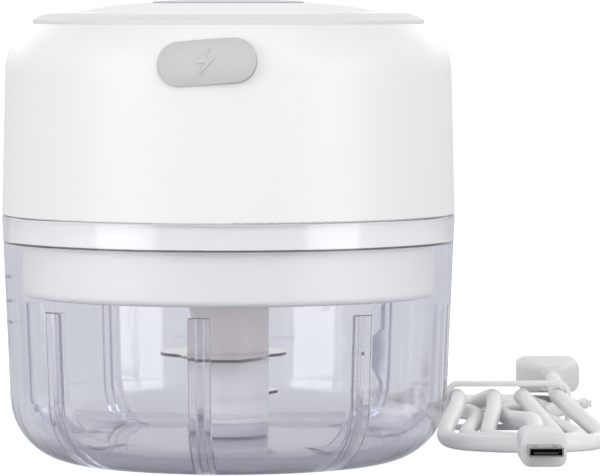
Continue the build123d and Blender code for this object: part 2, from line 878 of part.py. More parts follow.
# Circuit board under the roof and its screws
with BuildPart() as circuit_board:
    with BuildSketch(Plane.XY.offset(board_bottom)):
        Circle(board_radius)
        with roof_posts:
            Circle(board_screw_radius + loose_fit, mode=Mode.SUBTRACT)
    extrude(amount=board_thickness)
circuit_board.part.label = "circuit_board"
export_step(circuit_board.part, "parts/circuit_board.step")

with BuildPart() as board_screws:
    with BuildSketch(Plane.XY.offset(board_bottom - board_screw_head_height)):
        with roof_posts:
            Circle(board_screw_head_radius)
    extrude(amount=board_screw_head_height)
    with BuildSketch(Plane.XY.offset(board_bottom)):
        with roof_posts:
            Circle(board_screw_radius)
    extrude(amount=board_thickness + board_screw_grip)
board_screws.part.label = "board_screws"
export_step(board_screws.part, "parts/board_screws.step")

# Charging socket on the board, its mouth just behind the pad
socket_mouth = port_radius - pad_back - socket_setback
socket_plane = Plane(
    origin=(
        socket_mouth * sin(azimuth),
        -socket_mouth * cos(azimuth),
        board_top + socket_height / 2,
    ),
    x_dir=port_level,
    z_dir=(sin(azimuth), -cos(azimuth), 0),
)
with BuildPart() as charging_socket:
    with BuildSketch(socket_plane.offset(-socket_length)):
        Rectangle(socket_width, socket_height)
    extrude(amount=socket_length)
    with BuildSketch(socket_plane):
        Rectangle(socket_width - 2 * socket_wall, socket_height - 2 * socket_wall)
    extrude(amount=socket_wall - socket_length, mode=Mode.SUBTRACT)
    with BuildSketch(socket_plane.offset(-socket_length)):
        Rectangle(tongue_width, tongue_thickness)
    extrude(amount=socket_length - 2 * socket_wall)
charging_socket.part.label = "charging_socket"
export_step(charging_socket.part, "parts/charging_socket.step")

# Motor mount: a plate with a deep well for the motor
motor_screws_at = GridLocations(motor_screw_pitch, 1, 2, 1)
with BuildPart() as motor_mount:
    with BuildSketch(Plane.XY.offset(flange_top)):
        Circle(flange_radius)
        with screw_places:
            Circle(screw_shank_radius + loose_fit, mode=Mode.SUBTRACT)
    extrude(amount=mount_plate)
    with Locations((0, 0, mount_floor_z)):
        Cylinder(
            motor_radius + mount_fit + mount_wall,
            mount_plate_top - mount_floor_z,
            align=FROM_BELOW,
        )
    with Locations((0, 0, motor_face)):
        Cylinder(
            motor_radius + mount_fit,
            mount_plate_top - motor_face,
            align=FROM_BELOW,
            mode=Mode.SUBTRACT,
        )
    with BuildSketch(Plane.XY.offset(mount_floor_z)):
        Circle(motor_boss_radius + mount_fit)
        with motor_screws_at:
            Circle(motor_screw_radius + mount_fit)
    extrude(amount=mount_floor, mode=Mode.SUBTRACT)
motor_mount.part.label = "motor_mount"
export_step(motor_mount.part, "parts/motor_mount.step")

# Motor can, open at the top, with a bearing boss below
with BuildPart() as motor_can:
    with Locations((0, 0, motor_face)):
        Cylinder(motor_radius, motor_cap_z - motor_face, align=FROM_BELOW)
        Cylinder(motor_boss_radius, motor_boss_height, align=FROM_ABOVE)
    with Locations((0, 0, motor_face + motor_can_wall)):
        Cylinder(
            motor_radius - motor_can_wall,
            motor_cap_z - motor_face,
            align=FROM_BELOW,
            mode=Mode.SUBTRACT,
        )
    with Locations((0, 0, motor_face - motor_boss_height)):
        Cylinder(
            bush_radius + fit,
            motor_boss_height + motor_can_wall,
            align=FROM_BELOW,
            mode=Mode.SUBTRACT,
        )
    with BuildSketch(Plane.XY.offset(motor_face)):
        with motor_screws_at:
            Circle(motor_screw_radius + fit)
    extrude(amount=motor_can_wall, mode=Mode.SUBTRACT)
motor_can.part.label = "motor_can"
export_step(motor_can.part, "parts/motor_can.step")

# Plastic end cap of the motor
with BuildPart() as motor_end_cap:
    with Locations((0, 0, motor_cap_z)):
        Cylinder(motor_radius, motor_cap_length, align=FROM_BELOW)
        Cylinder(bush_radius + fit, motor_cap_length, align=FROM_BELOW, mode=Mode.SUBTRACT)
    fillet(motor_end_cap.edges().group_by(Axis.Z)[-1].sort_by(SortBy.LENGTH)[-1], motor_cap_edge)
motor_end_cap.part.label = "motor_end_cap"
export_step(motor_end_cap.part, "parts/motor_end_cap.step")

# Bearing bushes at both ends of the motor
with BuildPart() as motor_bushes:
    with Locations((0, 0, motor_face - motor_boss_height), (0, 0, motor_end - bush_length)):
        Cylinder(bush_radius, bush_length, align=FROM_BELOW)
        Cylinder(shaft_radius + running_fit, bush_length, align=FROM_BELOW, mode=Mode.SUBTRACT)
motor_bushes.part.label = "motor_bushes"
export_step(motor_bushes.part, "parts/motor_bushes.step")

# Two magnets on the can's wall
with BuildPart() as motor_magnets:
    with BuildSketch(Plane.XY.offset(magnet_z)):
        Circle(magnet_outer)
        Circle(magnet_inner, mode=Mode.SUBTRACT)
        magnet_parting = 2 * magnet_outer * cos(radians(magnet_span / 2))
        Rectangle(magnet_parting, 2 * motor_radius, mode=Mode.SUBTRACT)
    extrude(amount=magnet_length)
motor_magnets.part.label = "motor_magnets"
export_step(motor_magnets.part, "parts/motor_magnets.step")

# Carbon brushes under the end cap, one each side of the commutator
with BuildPart() as motor_brushes:
    with BuildSketch(Plane.XY.offset(motor_cap_z - brush_height)):
        brush_middle = commutator_radius + brush_air + brush_length / 2
        with GridLocations(2 * brush_middle, 1, 2, 1):
            Rectangle(brush_length, brush_side)
    extrude(amount=brush_height)
motor_brushes.part.label = "motor_brushes"
export_step(motor_brushes.part, "parts/motor_brushes.step")

# Terminals from the end cap up to the board
with BuildPart() as motor_terminals:
    with BuildSketch(Plane.XY.offset(motor_end)):
        with GridLocations(2 * terminal_offset, 1, 2, 1):
            Rectangle(terminal_thickness, terminal_width)
    extrude(amount=terminal_height)
motor_terminals.part.label = "motor_terminals"
export_step(motor_terminals.part, "parts/motor_terminals.step")

# Screws that hold the motor in its well
with BuildPart() as motor_screws:
    with BuildSketch(Plane.XY.offset(mount_floor_z - motor_screw_head_height)):
        with motor_screws_at:
            Circle(motor_screw_head_radius)
    extrude(amount=motor_screw_head_height)
    with BuildSketch(Plane.XY.offset(mount_floor_z)):
        with motor_screws_at:
            Circle(motor_screw_radius)
    extrude(amount=mount_floor + motor_screw_grip)
motor_screws.part.label = "motor_screws"
export_step(motor_screws.part, "parts/motor_screws.step")

# Rotor: shaft, three-pole core, end windings and commutator
shaft_bottom = neck_top - shaft_grip
with BuildPart() as motor_shaft:
    with Locations((0, 0, shaft_bottom)):
        Cylinder(shaft_radius, shaft_top - shaft_bottom, align=FROM_BELOW)
motor_shaft.part.label = "motor_shaft"
export_step(motor_shaft.part, "parts/motor_shaft.step")

with BuildPart() as armature_core:
    with BuildSketch(Plane.XY.offset(armature_z)):
        Circle(armature_radius)
        Circle(armature_radius - armature_shoe, mode=Mode.SUBTRACT)
        with PolarLocations(0, armature_poles, start_angle=180 / armature_poles):
            with Locations((armature_radius, 0)):
                Rectangle(2 * armature_shoe + armature_radius / 2, armature_slot, mode=Mode.SUBTRACT)
        Circle(armature_core_radius)
        with PolarLocations(0, armature_poles):
            Rectangle(
                armature_radius - armature_shoe / 2,
                armature_pole_width,
                align=(Align.MIN, Align.CENTER),
            )
        Circle(shaft_radius + fit, mode=Mode.SUBTRACT)
    extrude(amount=armature_length)
armature_core.part.label = "armature_core"
export_step(armature_core.part, "parts/armature_core.step")

with BuildPart() as armature_windings:
    with Locations((0, 0, armature_z - winding_height), (0, 0, armature_end)):
        Cylinder(armature_radius - winding_inset, winding_height, align=FROM_BELOW)
        Cylinder(shaft_radius + fit, winding_height, align=FROM_BELOW, mode=Mode.SUBTRACT)
armature_windings.part.label = "armature_windings"
export_step(armature_windings.part, "parts/armature_windings.step")

with BuildPart() as commutator:
    with Locations((0, 0, commutator_z)):
        Cylinder(commutator_radius, commutator_length, align=FROM_BELOW)
        Cylinder(shaft_radius + fit, commutator_length, align=FROM_BELOW, mode=Mode.SUBTRACT)
commutator.part.label = "commutator"
export_step(commutator.part, "parts/commutator.step")

# Drive coupler: a round neck in the seal and a six-sided end in the hub
with BuildPart() as drive_coupler:
    with BuildSketch(Plane.XY.offset(coupler_bottom)):
        RegularPolygon(coupler_radius, 6)
    extrude(amount=plug_bottom + seal_lip / 2 - coupler_bottom)
    chamfer(drive_coupler.edges().group_by(Axis.Z)[0], coupler_lead_in)
    with Locations((0, 0, plug_bottom + seal_lip / 2)):
        Cylinder(neck_radius, neck_top - plug_bottom - seal_lip / 2, align=FROM_BELOW)
    with Locations((0, 0, neck_top)):
        Cylinder(
            shaft_radius + fit,
            shaft_grip,
            align=FROM_ABOVE,
            mode=Mode.SUBTRACT,
        )
drive_coupler.part.label = "drive_coupler"
export_step(drive_coupler.part, "parts/drive_coupler.step")

# Battery cell lying behind the motor, its cradle and its tabs
cell_end = cell_length / 2
with BuildPart() as battery_cell:
    with BuildSketch(Plane(origin=(-cell_end, cell_offset, cell_z), x_dir=(0, 1, 0), z_dir=(1, 0, 0))):
        Circle(cell_radius)
    extrude(amount=cell_length)
    fillet(battery_cell.edges(), cell_edge)
battery_cell.part.label = "battery_cell"
export_step(battery_cell.part, "parts/battery_cell.step")

with BuildPart() as battery_cradle:
    with BuildSketch(Plane.XY.offset(mount_plate_top)):
        with Locations((0, cell_offset)):
            Rectangle(cradle_length, cradle_width)
    extrude(amount=cell_z - mount_plate_top - cradle_cut)
    with BuildSketch(Plane(origin=(-cell_end, cell_offset, cell_z), x_dir=(0, 1, 0), z_dir=(1, 0, 0))):
        Circle(cell_radius + mount_fit)
    extrude(amount=cell_length, mode=Mode.SUBTRACT)
battery_cradle.part.label = "battery_cradle"
export_step(battery_cradle.part, "parts/battery_cradle.step")

with BuildPart() as battery_tabs:
    with BuildSketch(Plane.XY.offset(cell_z - tab_width / 2)):
        with Locations((0, cell_offset)):
            with GridLocations(cell_length + tab_thickness, 1, 2, 1):
                Rectangle(tab_thickness, tab_width)
    extrude(amount=board_bottom - cell_z + tab_width / 2)
battery_tabs.part.label = "battery_tabs"
export_step(battery_tabs.part, "parts/battery_tabs.step")

# Charging lead: the cable lies in a tied hank on the surface beside the bowl
tie_lift = tie_thickness + tie_clearance
lobe_start = cos(2 * pi * hank_side)
cord_diameter = 2 * cord_radius


def hank_point(turn):
    """Centre line of the hank, with turns counted from the first pass through the tie."""
    angle = -2 * pi * turn
    far = sin(angle)
    waist = hank_waist * (1 - turn / hank_turns)
    swell = (hank_swell - hank_swell_step * turn) * (1 + hank_far_growth * far)
    across = cos(angle) * (waist + swell * far**2) - hank_lean * far - hank_far_lean * far**2
    along = (hank_reach - hank_reach_step * turn) * far
    layer = 1 - int(turn + 0.25) % 2
    drawn_in = max(0, (abs(cos(angle)) - lobe_start) / (1 - lobe_start)) ** hank_settle
    lift = (tie_lift + hank_layer * layer) * drawn_in
    return Vector(lead_x + across, lead_y + along, cord_radius + fit + lift)


def hank_heading(turn):
    """Direction of the hank's centre line."""
    return (hank_point(turn + heading_step) - hank_point(turn - heading_step)).normalized()


def biarc(start, heading, end, end_heading):
    """Two arcs with a common tangent, from one point and heading to the next."""
    chord = end - start
    squared = 2 * (1 - heading.dot(end_heading))
    linear = 2 * chord.dot(heading + end_heading)
    constant = chord.dot(chord)
    reach = 2 * constant / (linear + sqrt(linear**2 + 4 * squared * constant))
    first = start + heading * reach
    second = end - end_heading * reach
    middle = (first + second) / 2
    TangentArc(start, middle, tangent=heading)
    TangentArc(middle, end, tangent=second - first)


# The two ends of the cable: the USB-A plug lies on the far loops, the small plug in front
plug_a_heading = Vector(cos(radians(plug_a_angle)), sin(radians(plug_a_angle)), 0)
plug_a_end = Vector(lead_x + plug_a_across, lead_y + plug_a_along, plug_a_lift + plug_a_height / 2)
plug_b_heading = Vector(0, -1, 0)
plug_b_end = Vector(lead_x + crossing_across, lead_y - plug_b_along, plug_b_height / 2)
crossing_z = 3 * cord_radius + crossing_gap
crossing_start = Vector(lead_x + crossing_across, lead_y - crossing_first, crossing_z)
crossing_stop = Vector(lead_x + crossing_across, lead_y - crossing_last, crossing_z)

with BuildLine() as cord_path:
    plug_a_run = Line(plug_a_end, plug_a_end - plug_a_heading * cord_diameter)
    biarc(plug_a_run @ 1, -plug_a_heading, hank_point(0), hank_heading(0))
    for half in range(2 * hank_turns):
        knots = (half / 2, half / 2 + hank_side, (half + 1) / 2 - hank_side, (half + 1) / 2)
        for here, there in zip(knots, knots[1:]):
            biarc(hank_point(here), hank_heading(here), hank_point(there), hank_heading(there))
    biarc(hank_point(hank_turns), hank_heading(hank_turns), crossing_start, plug_b_heading)
    Line(crossing_start, crossing_stop)
    plug_b_run = Line(plug_b_end - plug_b_heading * cord_diameter, plug_b_end)
    biarc(crossing_stop, plug_b_heading, plug_b_run @ 0, plug_b_heading)

cord_wire = cord_path.wires()[0]
with BuildPart() as charging_cable:
    with BuildSketch(Plane(origin=plug_a_end, z_dir=-plug_a_heading)):
        Circle(cord_radius)
    sweep(path=cord_wire)
charging_cable.part.label = "charging_cable"
export_step(charging_cable.part, "parts/charging_cable.step")

cord_samples = 900
cord_points = [tuple(cord_wire.position_at(i / cord_samples)) for i in range(cord_samples + 1)]
apart = int(4 * cord_diameter / cord_wire.length * cord_samples)
least = min(
    dist(cord_points[i], cord_points[j])
    for i in range(cord_samples + 1)
    for j in range(i + apart, cord_samples + 1)
)
bends = [edge.radius for edge in cord_wire.edges().filter_by(GeomType.CIRCLE)]
print("cable length", round(cord_wire.length, 1), "tightest bend", round(min(bends), 1))
print("least gap of the cable to itself", round(least - cord_diameter, 2))
print("cable volume over section times length", round(
    charging_cable.part.volume / (pi * cord_radius**2 * cord_wire.length), 4))

# Tie round the waist of the hank
tie_span = hank_waist + hank_waist * (1 - 1 / (2 * hank_turns))
tie_middle = (hank_waist - hank_waist * (1 - 1 / (2 * hank_turns))) / 2
tie_inner_width = tie_span + cord_diameter + 2 * tie_clearance
tie_inner_height = hank_layer + cord_diameter + 2 * tie_clearance
tie_z = tie_thickness + tie_inner_height / 2
tie_plane = Plane(origin=(lead_x + tie_middle, lead_y, tie_z), x_dir=(1, 0, 0), z_dir=(0, -1, 0))
with BuildPart() as cable_tie:
    with BuildSketch(tie_plane.offset(-tie_width / 2)):
        RectangleRounded(
            tie_inner_width + 2 * tie_thickness,
            tie_inner_height + 2 * tie_thickness,
            cord_radius + tie_thickness,
        )
        RectangleRounded(tie_inner_width, tie_inner_height, cord_radius, mode=Mode.SUBTRACT)
    extrude(amount=tie_width)
cable_tie.part.label = "cable_tie"
export_step(cable_tie.part, "parts/cable_tie.step")

# USB-A plug: tapered grip, steel shell with latch windows, and tongue
plug_a_across_dir = plug_a_heading.cross(Vector(0, 0, 1))
plug_a_plane = Plane(origin=plug_a_end, x_dir=plug_a_across_dir, z_dir=plug_a_heading)
shell_plane = plug_a_plane.offset(plug_a_length)
with BuildPart() as usb_a_grip:
    with BuildSketch(plug_a_plane):
        RectangleRounded(2 * plug_neck_radius, 2 * plug_neck_radius, plug_neck_corner)
    with BuildSketch(plug_a_plane.offset(plug_a_length * plug_a_taper)):
        RectangleRounded(plug_a_width, plug_a_height, plug_corner)
    loft(ruled=True)
    with BuildSketch(plug_a_plane.offset(plug_a_length * plug_a_taper)):
        RectangleRounded(plug_a_width, plug_a_height, plug_corner)
    extrude(amount=plug_a_length * (1 - plug_a_taper))
usb_a_grip.part.label = "usb_a_grip"
export_step(usb_a_grip.part, "parts/usb_a_grip.step")

with BuildPart() as usb_a_shell:
    with BuildSketch(shell_plane):
        RectangleRounded(plug_a_shell_width, plug_a_shell_height, plug_a_shell_wall)
        Rectangle(
            plug_a_shell_width - 2 * plug_a_shell_wall,
            plug_a_shell_height - 2 * plug_a_shell_wall,
            mode=Mode.SUBTRACT,
        )
    extrude(amount=plug_a_shell_length)
    window_plane = Plane(
        origin=shell_plane.from_local_coords((0, 0, plug_a_shell_length / 2)),
        x_dir=plug_a_across_dir,
        z_dir=(0, 0, 1),
    )
    with BuildSketch(window_plane.offset(-plug_a_shell_height)):
        with GridLocations(plug_a_window_pitch, 1, 2, 1):
            Rectangle(plug_a_window, plug_a_window)
    extrude(amount=2 * plug_a_shell_height, mode=Mode.SUBTRACT)
usb_a_shell.part.label = "usb_a_shell"
export_step(usb_a_shell.part, "parts/usb_a_shell.step")

with BuildPart() as usb_a_tongue:
    with BuildSketch(shell_plane):
        with Locations((0, plug_a_tongue_offset)):
            Rectangle(
                plug_a_shell_width - 2 * plug_a_shell_wall - 2 * tie_clearance,
                plug_a_tongue_height,
            )
    extrude(amount=plug_a_shell_length - plug_a_shell_wall)
usb_a_tongue.part.label = "usb_a_tongue"
export_step(usb_a_tongue.part, "parts/usb_a_tongue.step")

# Small charging plug: grip and flat steel tip
plug_b_plane = Plane(origin=plug_b_end, x_dir=(1, 0, 0), z_dir=plug_b_heading)
with BuildPart() as micro_usb_grip:
    with BuildSketch(plug_b_plane):
        RectangleRounded(2 * plug_neck_radius, 2 * plug_neck_radius, plug_neck_corner)
    with BuildSketch(plug_b_plane.offset(plug_b_length * plug_b_taper)):
        RectangleRounded(plug_b_width, plug_b_height, plug_corner)
    loft(ruled=True)
    with BuildSketch(plug_b_plane.offset(plug_b_length * plug_b_taper)):
        RectangleRounded(plug_b_width, plug_b_height, plug_corner)
    extrude(amount=plug_b_length * (1 - plug_b_taper))
micro_usb_grip.part.label = "micro_usb_grip"
export_step(micro_usb_grip.part, "parts/micro_usb_grip.step")

with BuildPart() as micro_usb_tip:
    with BuildSketch(plug_b_plane.offset(plug_b_length)):
        RectangleRounded(plug_b_tip_width, plug_b_tip_height, plug_b_tip_wall)
        Rectangle(
            plug_b_tip_width - 2 * plug_b_tip_wall,
            plug_b_tip_height - 2 * plug_b_tip_wall,
            mode=Mode.SUBTRACT,
        )
    extrude(amount=plug_b_tip_length)
micro_usb_tip.part.label = "micro_usb_tip"
export_step(micro_usb_tip.part, "parts/micro_usb_tip.step")
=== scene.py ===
import json
from math import cos, pi, radians, sin

import bmesh
import bpy
from mathutils import Matrix, Vector

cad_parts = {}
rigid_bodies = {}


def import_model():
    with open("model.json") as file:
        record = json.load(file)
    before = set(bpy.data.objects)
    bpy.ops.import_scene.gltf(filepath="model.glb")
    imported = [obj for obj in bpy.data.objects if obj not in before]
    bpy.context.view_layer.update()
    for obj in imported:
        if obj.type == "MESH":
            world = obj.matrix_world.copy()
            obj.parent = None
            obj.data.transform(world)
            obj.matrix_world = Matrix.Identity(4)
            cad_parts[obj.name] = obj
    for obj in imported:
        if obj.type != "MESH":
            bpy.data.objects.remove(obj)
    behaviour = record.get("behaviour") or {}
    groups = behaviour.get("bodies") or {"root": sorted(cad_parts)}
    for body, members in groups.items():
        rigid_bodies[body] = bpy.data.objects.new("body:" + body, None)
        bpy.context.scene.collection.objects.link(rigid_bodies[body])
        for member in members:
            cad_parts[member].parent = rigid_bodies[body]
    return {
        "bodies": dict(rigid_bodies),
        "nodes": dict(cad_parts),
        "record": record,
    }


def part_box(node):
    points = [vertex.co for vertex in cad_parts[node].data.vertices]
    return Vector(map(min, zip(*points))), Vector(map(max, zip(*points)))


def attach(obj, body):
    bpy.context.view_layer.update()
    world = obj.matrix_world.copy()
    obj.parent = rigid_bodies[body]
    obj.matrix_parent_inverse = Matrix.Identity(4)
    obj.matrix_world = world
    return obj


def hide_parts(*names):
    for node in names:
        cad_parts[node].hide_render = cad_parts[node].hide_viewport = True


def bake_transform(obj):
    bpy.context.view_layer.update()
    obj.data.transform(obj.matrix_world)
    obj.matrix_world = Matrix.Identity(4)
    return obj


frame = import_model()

mm = 0.001
# Most of a noise texture's values lie between these two
noise_low, noise_high = 0.3, 0.7
# How strongly a finish's fine relief shows
relief_strength = 0.6

# The start-up scene's own objects go, so that the box is the part's alone
for thing in list(bpy.data.objects):
    if thing.name not in frame["nodes"] and thing not in frame["bodies"].values():
        bpy.data.objects.remove(thing)
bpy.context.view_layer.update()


def linear(code):
    """An sRGB hex colour as linear red, green, blue and alpha."""
    parts = [int(code[i:i + 2], 16) / 255 for i in (1, 3, 5)]
    return tuple(c / 12.92 if c <= 0.04045 else ((c + 0.055) / 1.055) ** 2.4 for c in parts) + (1.0,)


white = linear("#ffffff")


def add(tree, kind, inputs=None, **settings):
    """Adds a node with its settings; an input is a value or a socket to link in."""
    made = tree.nodes.new(kind)
    for name, value in settings.items():
        setattr(made, name, value)
    for name, value in (inputs or {}).items():
        if isinstance(value, bpy.types.NodeSocket):
            tree.links.new(value, made.inputs[name])
        else:
            made.inputs[name].default_value = value
    return made


def begin_material(name, **sockets):
    """A material with a Principled surface whose constant values are set on its sockets."""
    material = bpy.data.materials.new(name)
    material.use_nodes = True
    surface = material.node_tree.nodes["Principled BSDF"]
    for socket, value in sockets.items():
        surface.inputs[socket.replace("_", " ")].default_value = value
    return material, material.node_tree, surface


def textured(name, shades, gloss, patch, grain, relief, stretch=(1, 1, 1), **sockets):
    """A finish with drifting colour and gloss over patches, and a fine relief.

    shades are two hex colours, gloss the lowest and highest roughness, patch and grain the sizes of the
    drift and of the relief in millimetres, relief its depth in millimetres.
    """
    material, tree, surface = begin_material(name, **sockets)
    place = add(tree, "ShaderNodeTexCoord").outputs["Object"]
    drawn = add(tree, "ShaderNodeMapping", {"Vector": place, "Scale": stretch}).outputs["Vector"]
    drift = add(tree, "ShaderNodeTexNoise", {"Vector": drawn, "Scale": 1 / (patch * mm), "Detail": 3.0})
    colour = add(
        tree,
        "ShaderNodeMix",
        {0: drift.outputs["Fac"], 6: linear(shades[0]), 7: linear(shades[1])},
        data_type="RGBA",
    )
    tree.links.new(colour.outputs[2], surface.inputs["Base Color"])
    fine = add(tree, "ShaderNodeTexNoise", {"Vector": drawn, "Scale": 1 / (grain * mm), "Detail": 2.0})
    dull = add(
        tree,
        "ShaderNodeMapRange",
        {
            "Value": fine.outputs["Fac"],
            "From Min": noise_low,
            "From Max": noise_high,
            "To Min": gloss[0],
            "To Max": gloss[1],
        },
    )
    tree.links.new(dull.outputs["Result"], surface.inputs["Roughness"])
    raised = add(
        tree,
        "ShaderNodeBump",
        {"Strength": relief_strength, "Distance": relief * mm, "Height": fine.outputs["Fac"]},
    )
    tree.links.new(raised.outputs["Normal"], surface.inputs["Normal"])
    return material


# Finishes. Real grains of tools, grinding and drawing are hundredths of a millimetre, too fine to show,
# so they are drawn a few tenths wide
# ABS, moulded in a fine spark-eroded tool: satin white that glows evenly with soft broad highlights
white_abs = textured(
    "white_ABS_satin", shades=("#f2f2f2", "#efeff0"), gloss=(0.36, 0.44),
    patch=30, grain=0.5, relief=0.001, IOR=1.53,
)
# The same from a smoother tool on the closed plug that meets the food, with a clearer sheen, and drawn
# whiter than the body as painted light for the light it loses behind the clear wall
plug_white_painted_light = textured(
    "white_ABS_smooth_painted_light", shades=("#fdfdfc", "#fbfbfa"), gloss=(0.3, 0.36),
    patch=30, grain=0.5, relief=0.0006, IOR=1.53,
)
# ABS in a light grey masterbatch: a touch darker and duller than the body
grey_abs = textured(
    "grey_ABS_satin", shades=("#e8e8e8", "#e3e3e4"), gloss=(0.42, 0.5),
    patch=24, grain=0.5, relief=0.001, IOR=1.53, Specular_IOR_Level=0.3,
)
# ABS polished in the tool: the panel shows a clearer, softer sheen
panel_abs = textured(
    "panel_ABS_polished", shades=("#f5f6f8", "#f1f2f4"), gloss=(0.36, 0.44),
    patch=24, grain=0.6, relief=0.0006, IOR=1.53, Specular_IOR_Level=0.25,
)
# The same, on the bead at the edge: glossier, so the polish catches the light, and whiter than the panel,
# a painted highlight
bead_painted_highlight = textured(
    "bead_ABS_painted_highlight", shades=("#ffffff", "#fcfcfc"), gloss=(0.2, 0.26),
    patch=24, grain=0.6, relief=0.0004, IOR=1.53,
)
# ABS button: cool pale grey, smooth from use
button_abs = textured(
    "button_ABS_smooth", shades=("#d2d4da", "#cbcdd3"), gloss=(0.34, 0.42),
    patch=14, grain=0.6, relief=0.0006, IOR=1.53, Specular_IOR_Level=0.25,
)
# Silicone rubber: matt, slightly powdery, light soaks in a little
silicone = textured(
    "silicone_rubber_matt", shades=("#cfcfcf", "#c8c8c8"), gloss=(0.52, 0.66),
    patch=6, grain=0.35, relief=0.006,
    IOR=1.41, Subsurface_Weight=0.08, Subsurface_Radius=(0.001, 0.001, 0.001), Subsurface_Scale=1.0,
)
# Silicone of the mouth seal: white, with a low soft sheen; the mid grey one, with the same sheen, is a
# painted shade line under the seal
seal_white = textured(
    "silicone_rubber_white", shades=("#f5f5f5", "#f0f0f0"), gloss=(0.45, 0.58),
    patch=10, grain=0.35, relief=0.004, IOR=1.41,
)
shade_line_grey = textured(
    "grey_painted_shade_line", shades=("#7a7478", "#6e686c"), gloss=(0.45, 0.58),
    patch=8, grain=0.35, relief=0.003, IOR=1.41,
)
# Polypropylene, natural: milky, light wanders in it before it comes out
hub_pp = textured(
    "polypropylene_natural", shades=("#fbf8fc", "#f3f0f5"), gloss=(0.36, 0.46),
    patch=8, grain=0.4, relief=0.004,
    IOR=1.49, Subsurface_Weight=0.25, Subsurface_Radius=(0.002, 0.002, 0.002), Subsurface_Scale=1.0,
)
# The same, greyer and less milky: lilac grey for the skirt at the hub's foot, rose grey for the collar
foot_pp = textured(
    "polypropylene_lilac_grey", shades=("#d9d6e2", "#cfccd9"), gloss=(0.36, 0.46),
    patch=8, grain=0.4, relief=0.004,
    IOR=1.49, Subsurface_Weight=0.15, Subsurface_Radius=(0.002, 0.002, 0.002), Subsurface_Scale=1.0,
)
collar_pp = textured(
    "polypropylene_rose_grey", shades=("#faf2f6", "#f2eaef"), gloss=(0.36, 0.46),
    patch=8, grain=0.4, relief=0.004,
    IOR=1.49, Subsurface_Weight=0.15, Subsurface_Radius=(0.002, 0.002, 0.002), Subsurface_Scale=1.0,
)
# Stainless strip, ground lengthwise: fine streaks break up its mirror, and its cut edge is drawn dark
# grey, a painted shade
blade_steel = textured(
    "stainless_steel_ground", shades=("#d9d8da", "#cfced1"), gloss=(0.08, 0.16),
    patch=5, grain=0.25, relief=0.001, stretch=(1.0, 0.08, 1.0), Metallic=1.0,
)
# How far up the surface looks where the cut edge's painted shade is full, and where the face's own colour
# takes over
blade_cut_tilt, blade_face_tilt = 0.4, 0.8
blade_tree = blade_steel.node_tree
blade_surface = blade_tree.nodes["Principled BSDF"]
blade_side = add(blade_tree, "ShaderNodeTexCoord").outputs["Normal"]
blade_level = add(blade_tree, "ShaderNodeSeparateXYZ", {"Vector": blade_side}).outputs["Z"]
blade_flat = add(blade_tree, "ShaderNodeMath", {0: blade_level}, operation="ABSOLUTE")
# Painted shade: faces that look sideways, the cut edge, get a dark grey in place of the steel's colour
blade_edge_painted_shade = add(
    blade_tree, "ShaderNodeMapRange",
    {"Value": blade_flat.outputs["Value"], "From Min": blade_cut_tilt, "From Max": blade_face_tilt},
)
blade_face_colour = blade_surface.inputs["Base Color"].links[0].from_socket
blade_colour = add(
    blade_tree, "ShaderNodeMix",
    {0: blade_edge_painted_shade.outputs["Result"], 6: linear("#6a6465"), 7: blade_face_colour}, data_type="RGBA",
)
blade_tree.links.new(blade_colour.outputs[2], blade_surface.inputs["Base Color"])
# Zinc-plated steel: grey, dull, a little cloudy
zinc_steel = textured(
    "zinc_plated_steel", shades=("#a9aaae", "#96979b"), gloss=(0.3, 0.45),
    patch=3, grain=0.3, relief=0.004, Metallic=1.0,
)
# Nickel-plated brass and steel of plugs: bright, drawn lengthwise
nickel = textured(
    "nickel_plated_steel", shades=("#eeeeec", "#e2e2df"), gloss=(0.14, 0.24),
    patch=6, grain=0.3, relief=0.002, stretch=(1.0, 0.15, 1.0), Metallic=1.0,
)
# Bright nickel of the small tip, drawn darker: a smoky mirror whose dark is a painted reflection
nickel_painted_dark_reflection = textured(
    "nickel_tip_painted_dark_reflection", shades=("#9c9c9c", "#858585"), gloss=(0.12, 0.22),
    patch=4, grain=0.3, relief=0.002, stretch=(1.0, 0.15, 1.0), Metallic=1.0,
)
# Gold flash over bronze on the contacts: small warm yellow glints
gold_flash = textured(
    "gold_flashed_bronze", shades=("#e2bb62", "#d2a848"), gloss=(0.2, 0.3),
    patch=2, grain=0.2, relief=0.001, Metallic=1.0,
)
# Plasticised PVC jacket: soft white with a low waxy sheen
cable_pvc = textured(
    "PVC_jacket_extruded", shades=("#f3f3f3", "#ececed"), gloss=(0.4, 0.5),
    patch=12, grain=0.6, relief=0.004, IOR=1.53,
)
# PVC overmould: the same compound, moulded with a fine matt texture
plug_pvc = textured(
    "PVC_overmould_satin", shades=("#e6e6e7", "#dededf"), gloss=(0.42, 0.54),
    patch=6, grain=0.35, relief=0.006, IOR=1.53,
)
# Polyamide, black: dense and slightly shiny
black_nylon = textured(
    "polyamide_black", shades=("#1e1e20", "#161618"), gloss=(0.34, 0.46),
    patch=5, grain=0.3, relief=0.004, IOR=1.53,
)
# ABS left natural, for the parts inside: plain ivory grey with a dull sheen
inner_abs = textured(
    "ABS_natural_inside", shades=("#dcdbd8", "#d2d1ce"), gloss=(0.4, 0.52),
    patch=14, grain=0.5, relief=0.004, IOR=1.53,
)
# Deep-drawn, zinc-plated steel of the motor's can: smooth, with long soft reflections
motor_steel = textured(
    "drawn_steel_zinc", shades=("#b9babd", "#a9aaae"), gloss=(0.24, 0.36),
    patch=8, grain=0.3, relief=0.003, Metallic=1.0,
)
# Stamped silicon-steel sheets: a stack of fine dark grey lines
core_iron = textured(
    "silicon_steel_stack", shades=("#5d5d62", "#434347"), gloss=(0.38, 0.52),
    patch=4, grain=0.35, relief=0.02, stretch=(0.05, 0.05, 1.0), Metallic=1.0,
)
# Sintered ferrite: charcoal, dull, grainy
ferrite = textured(
    "ferrite_sintered", shades=("#3a3a3d", "#2e2e31"), gloss=(0.55, 0.7),
    patch=4, grain=0.2, relief=0.01,
)
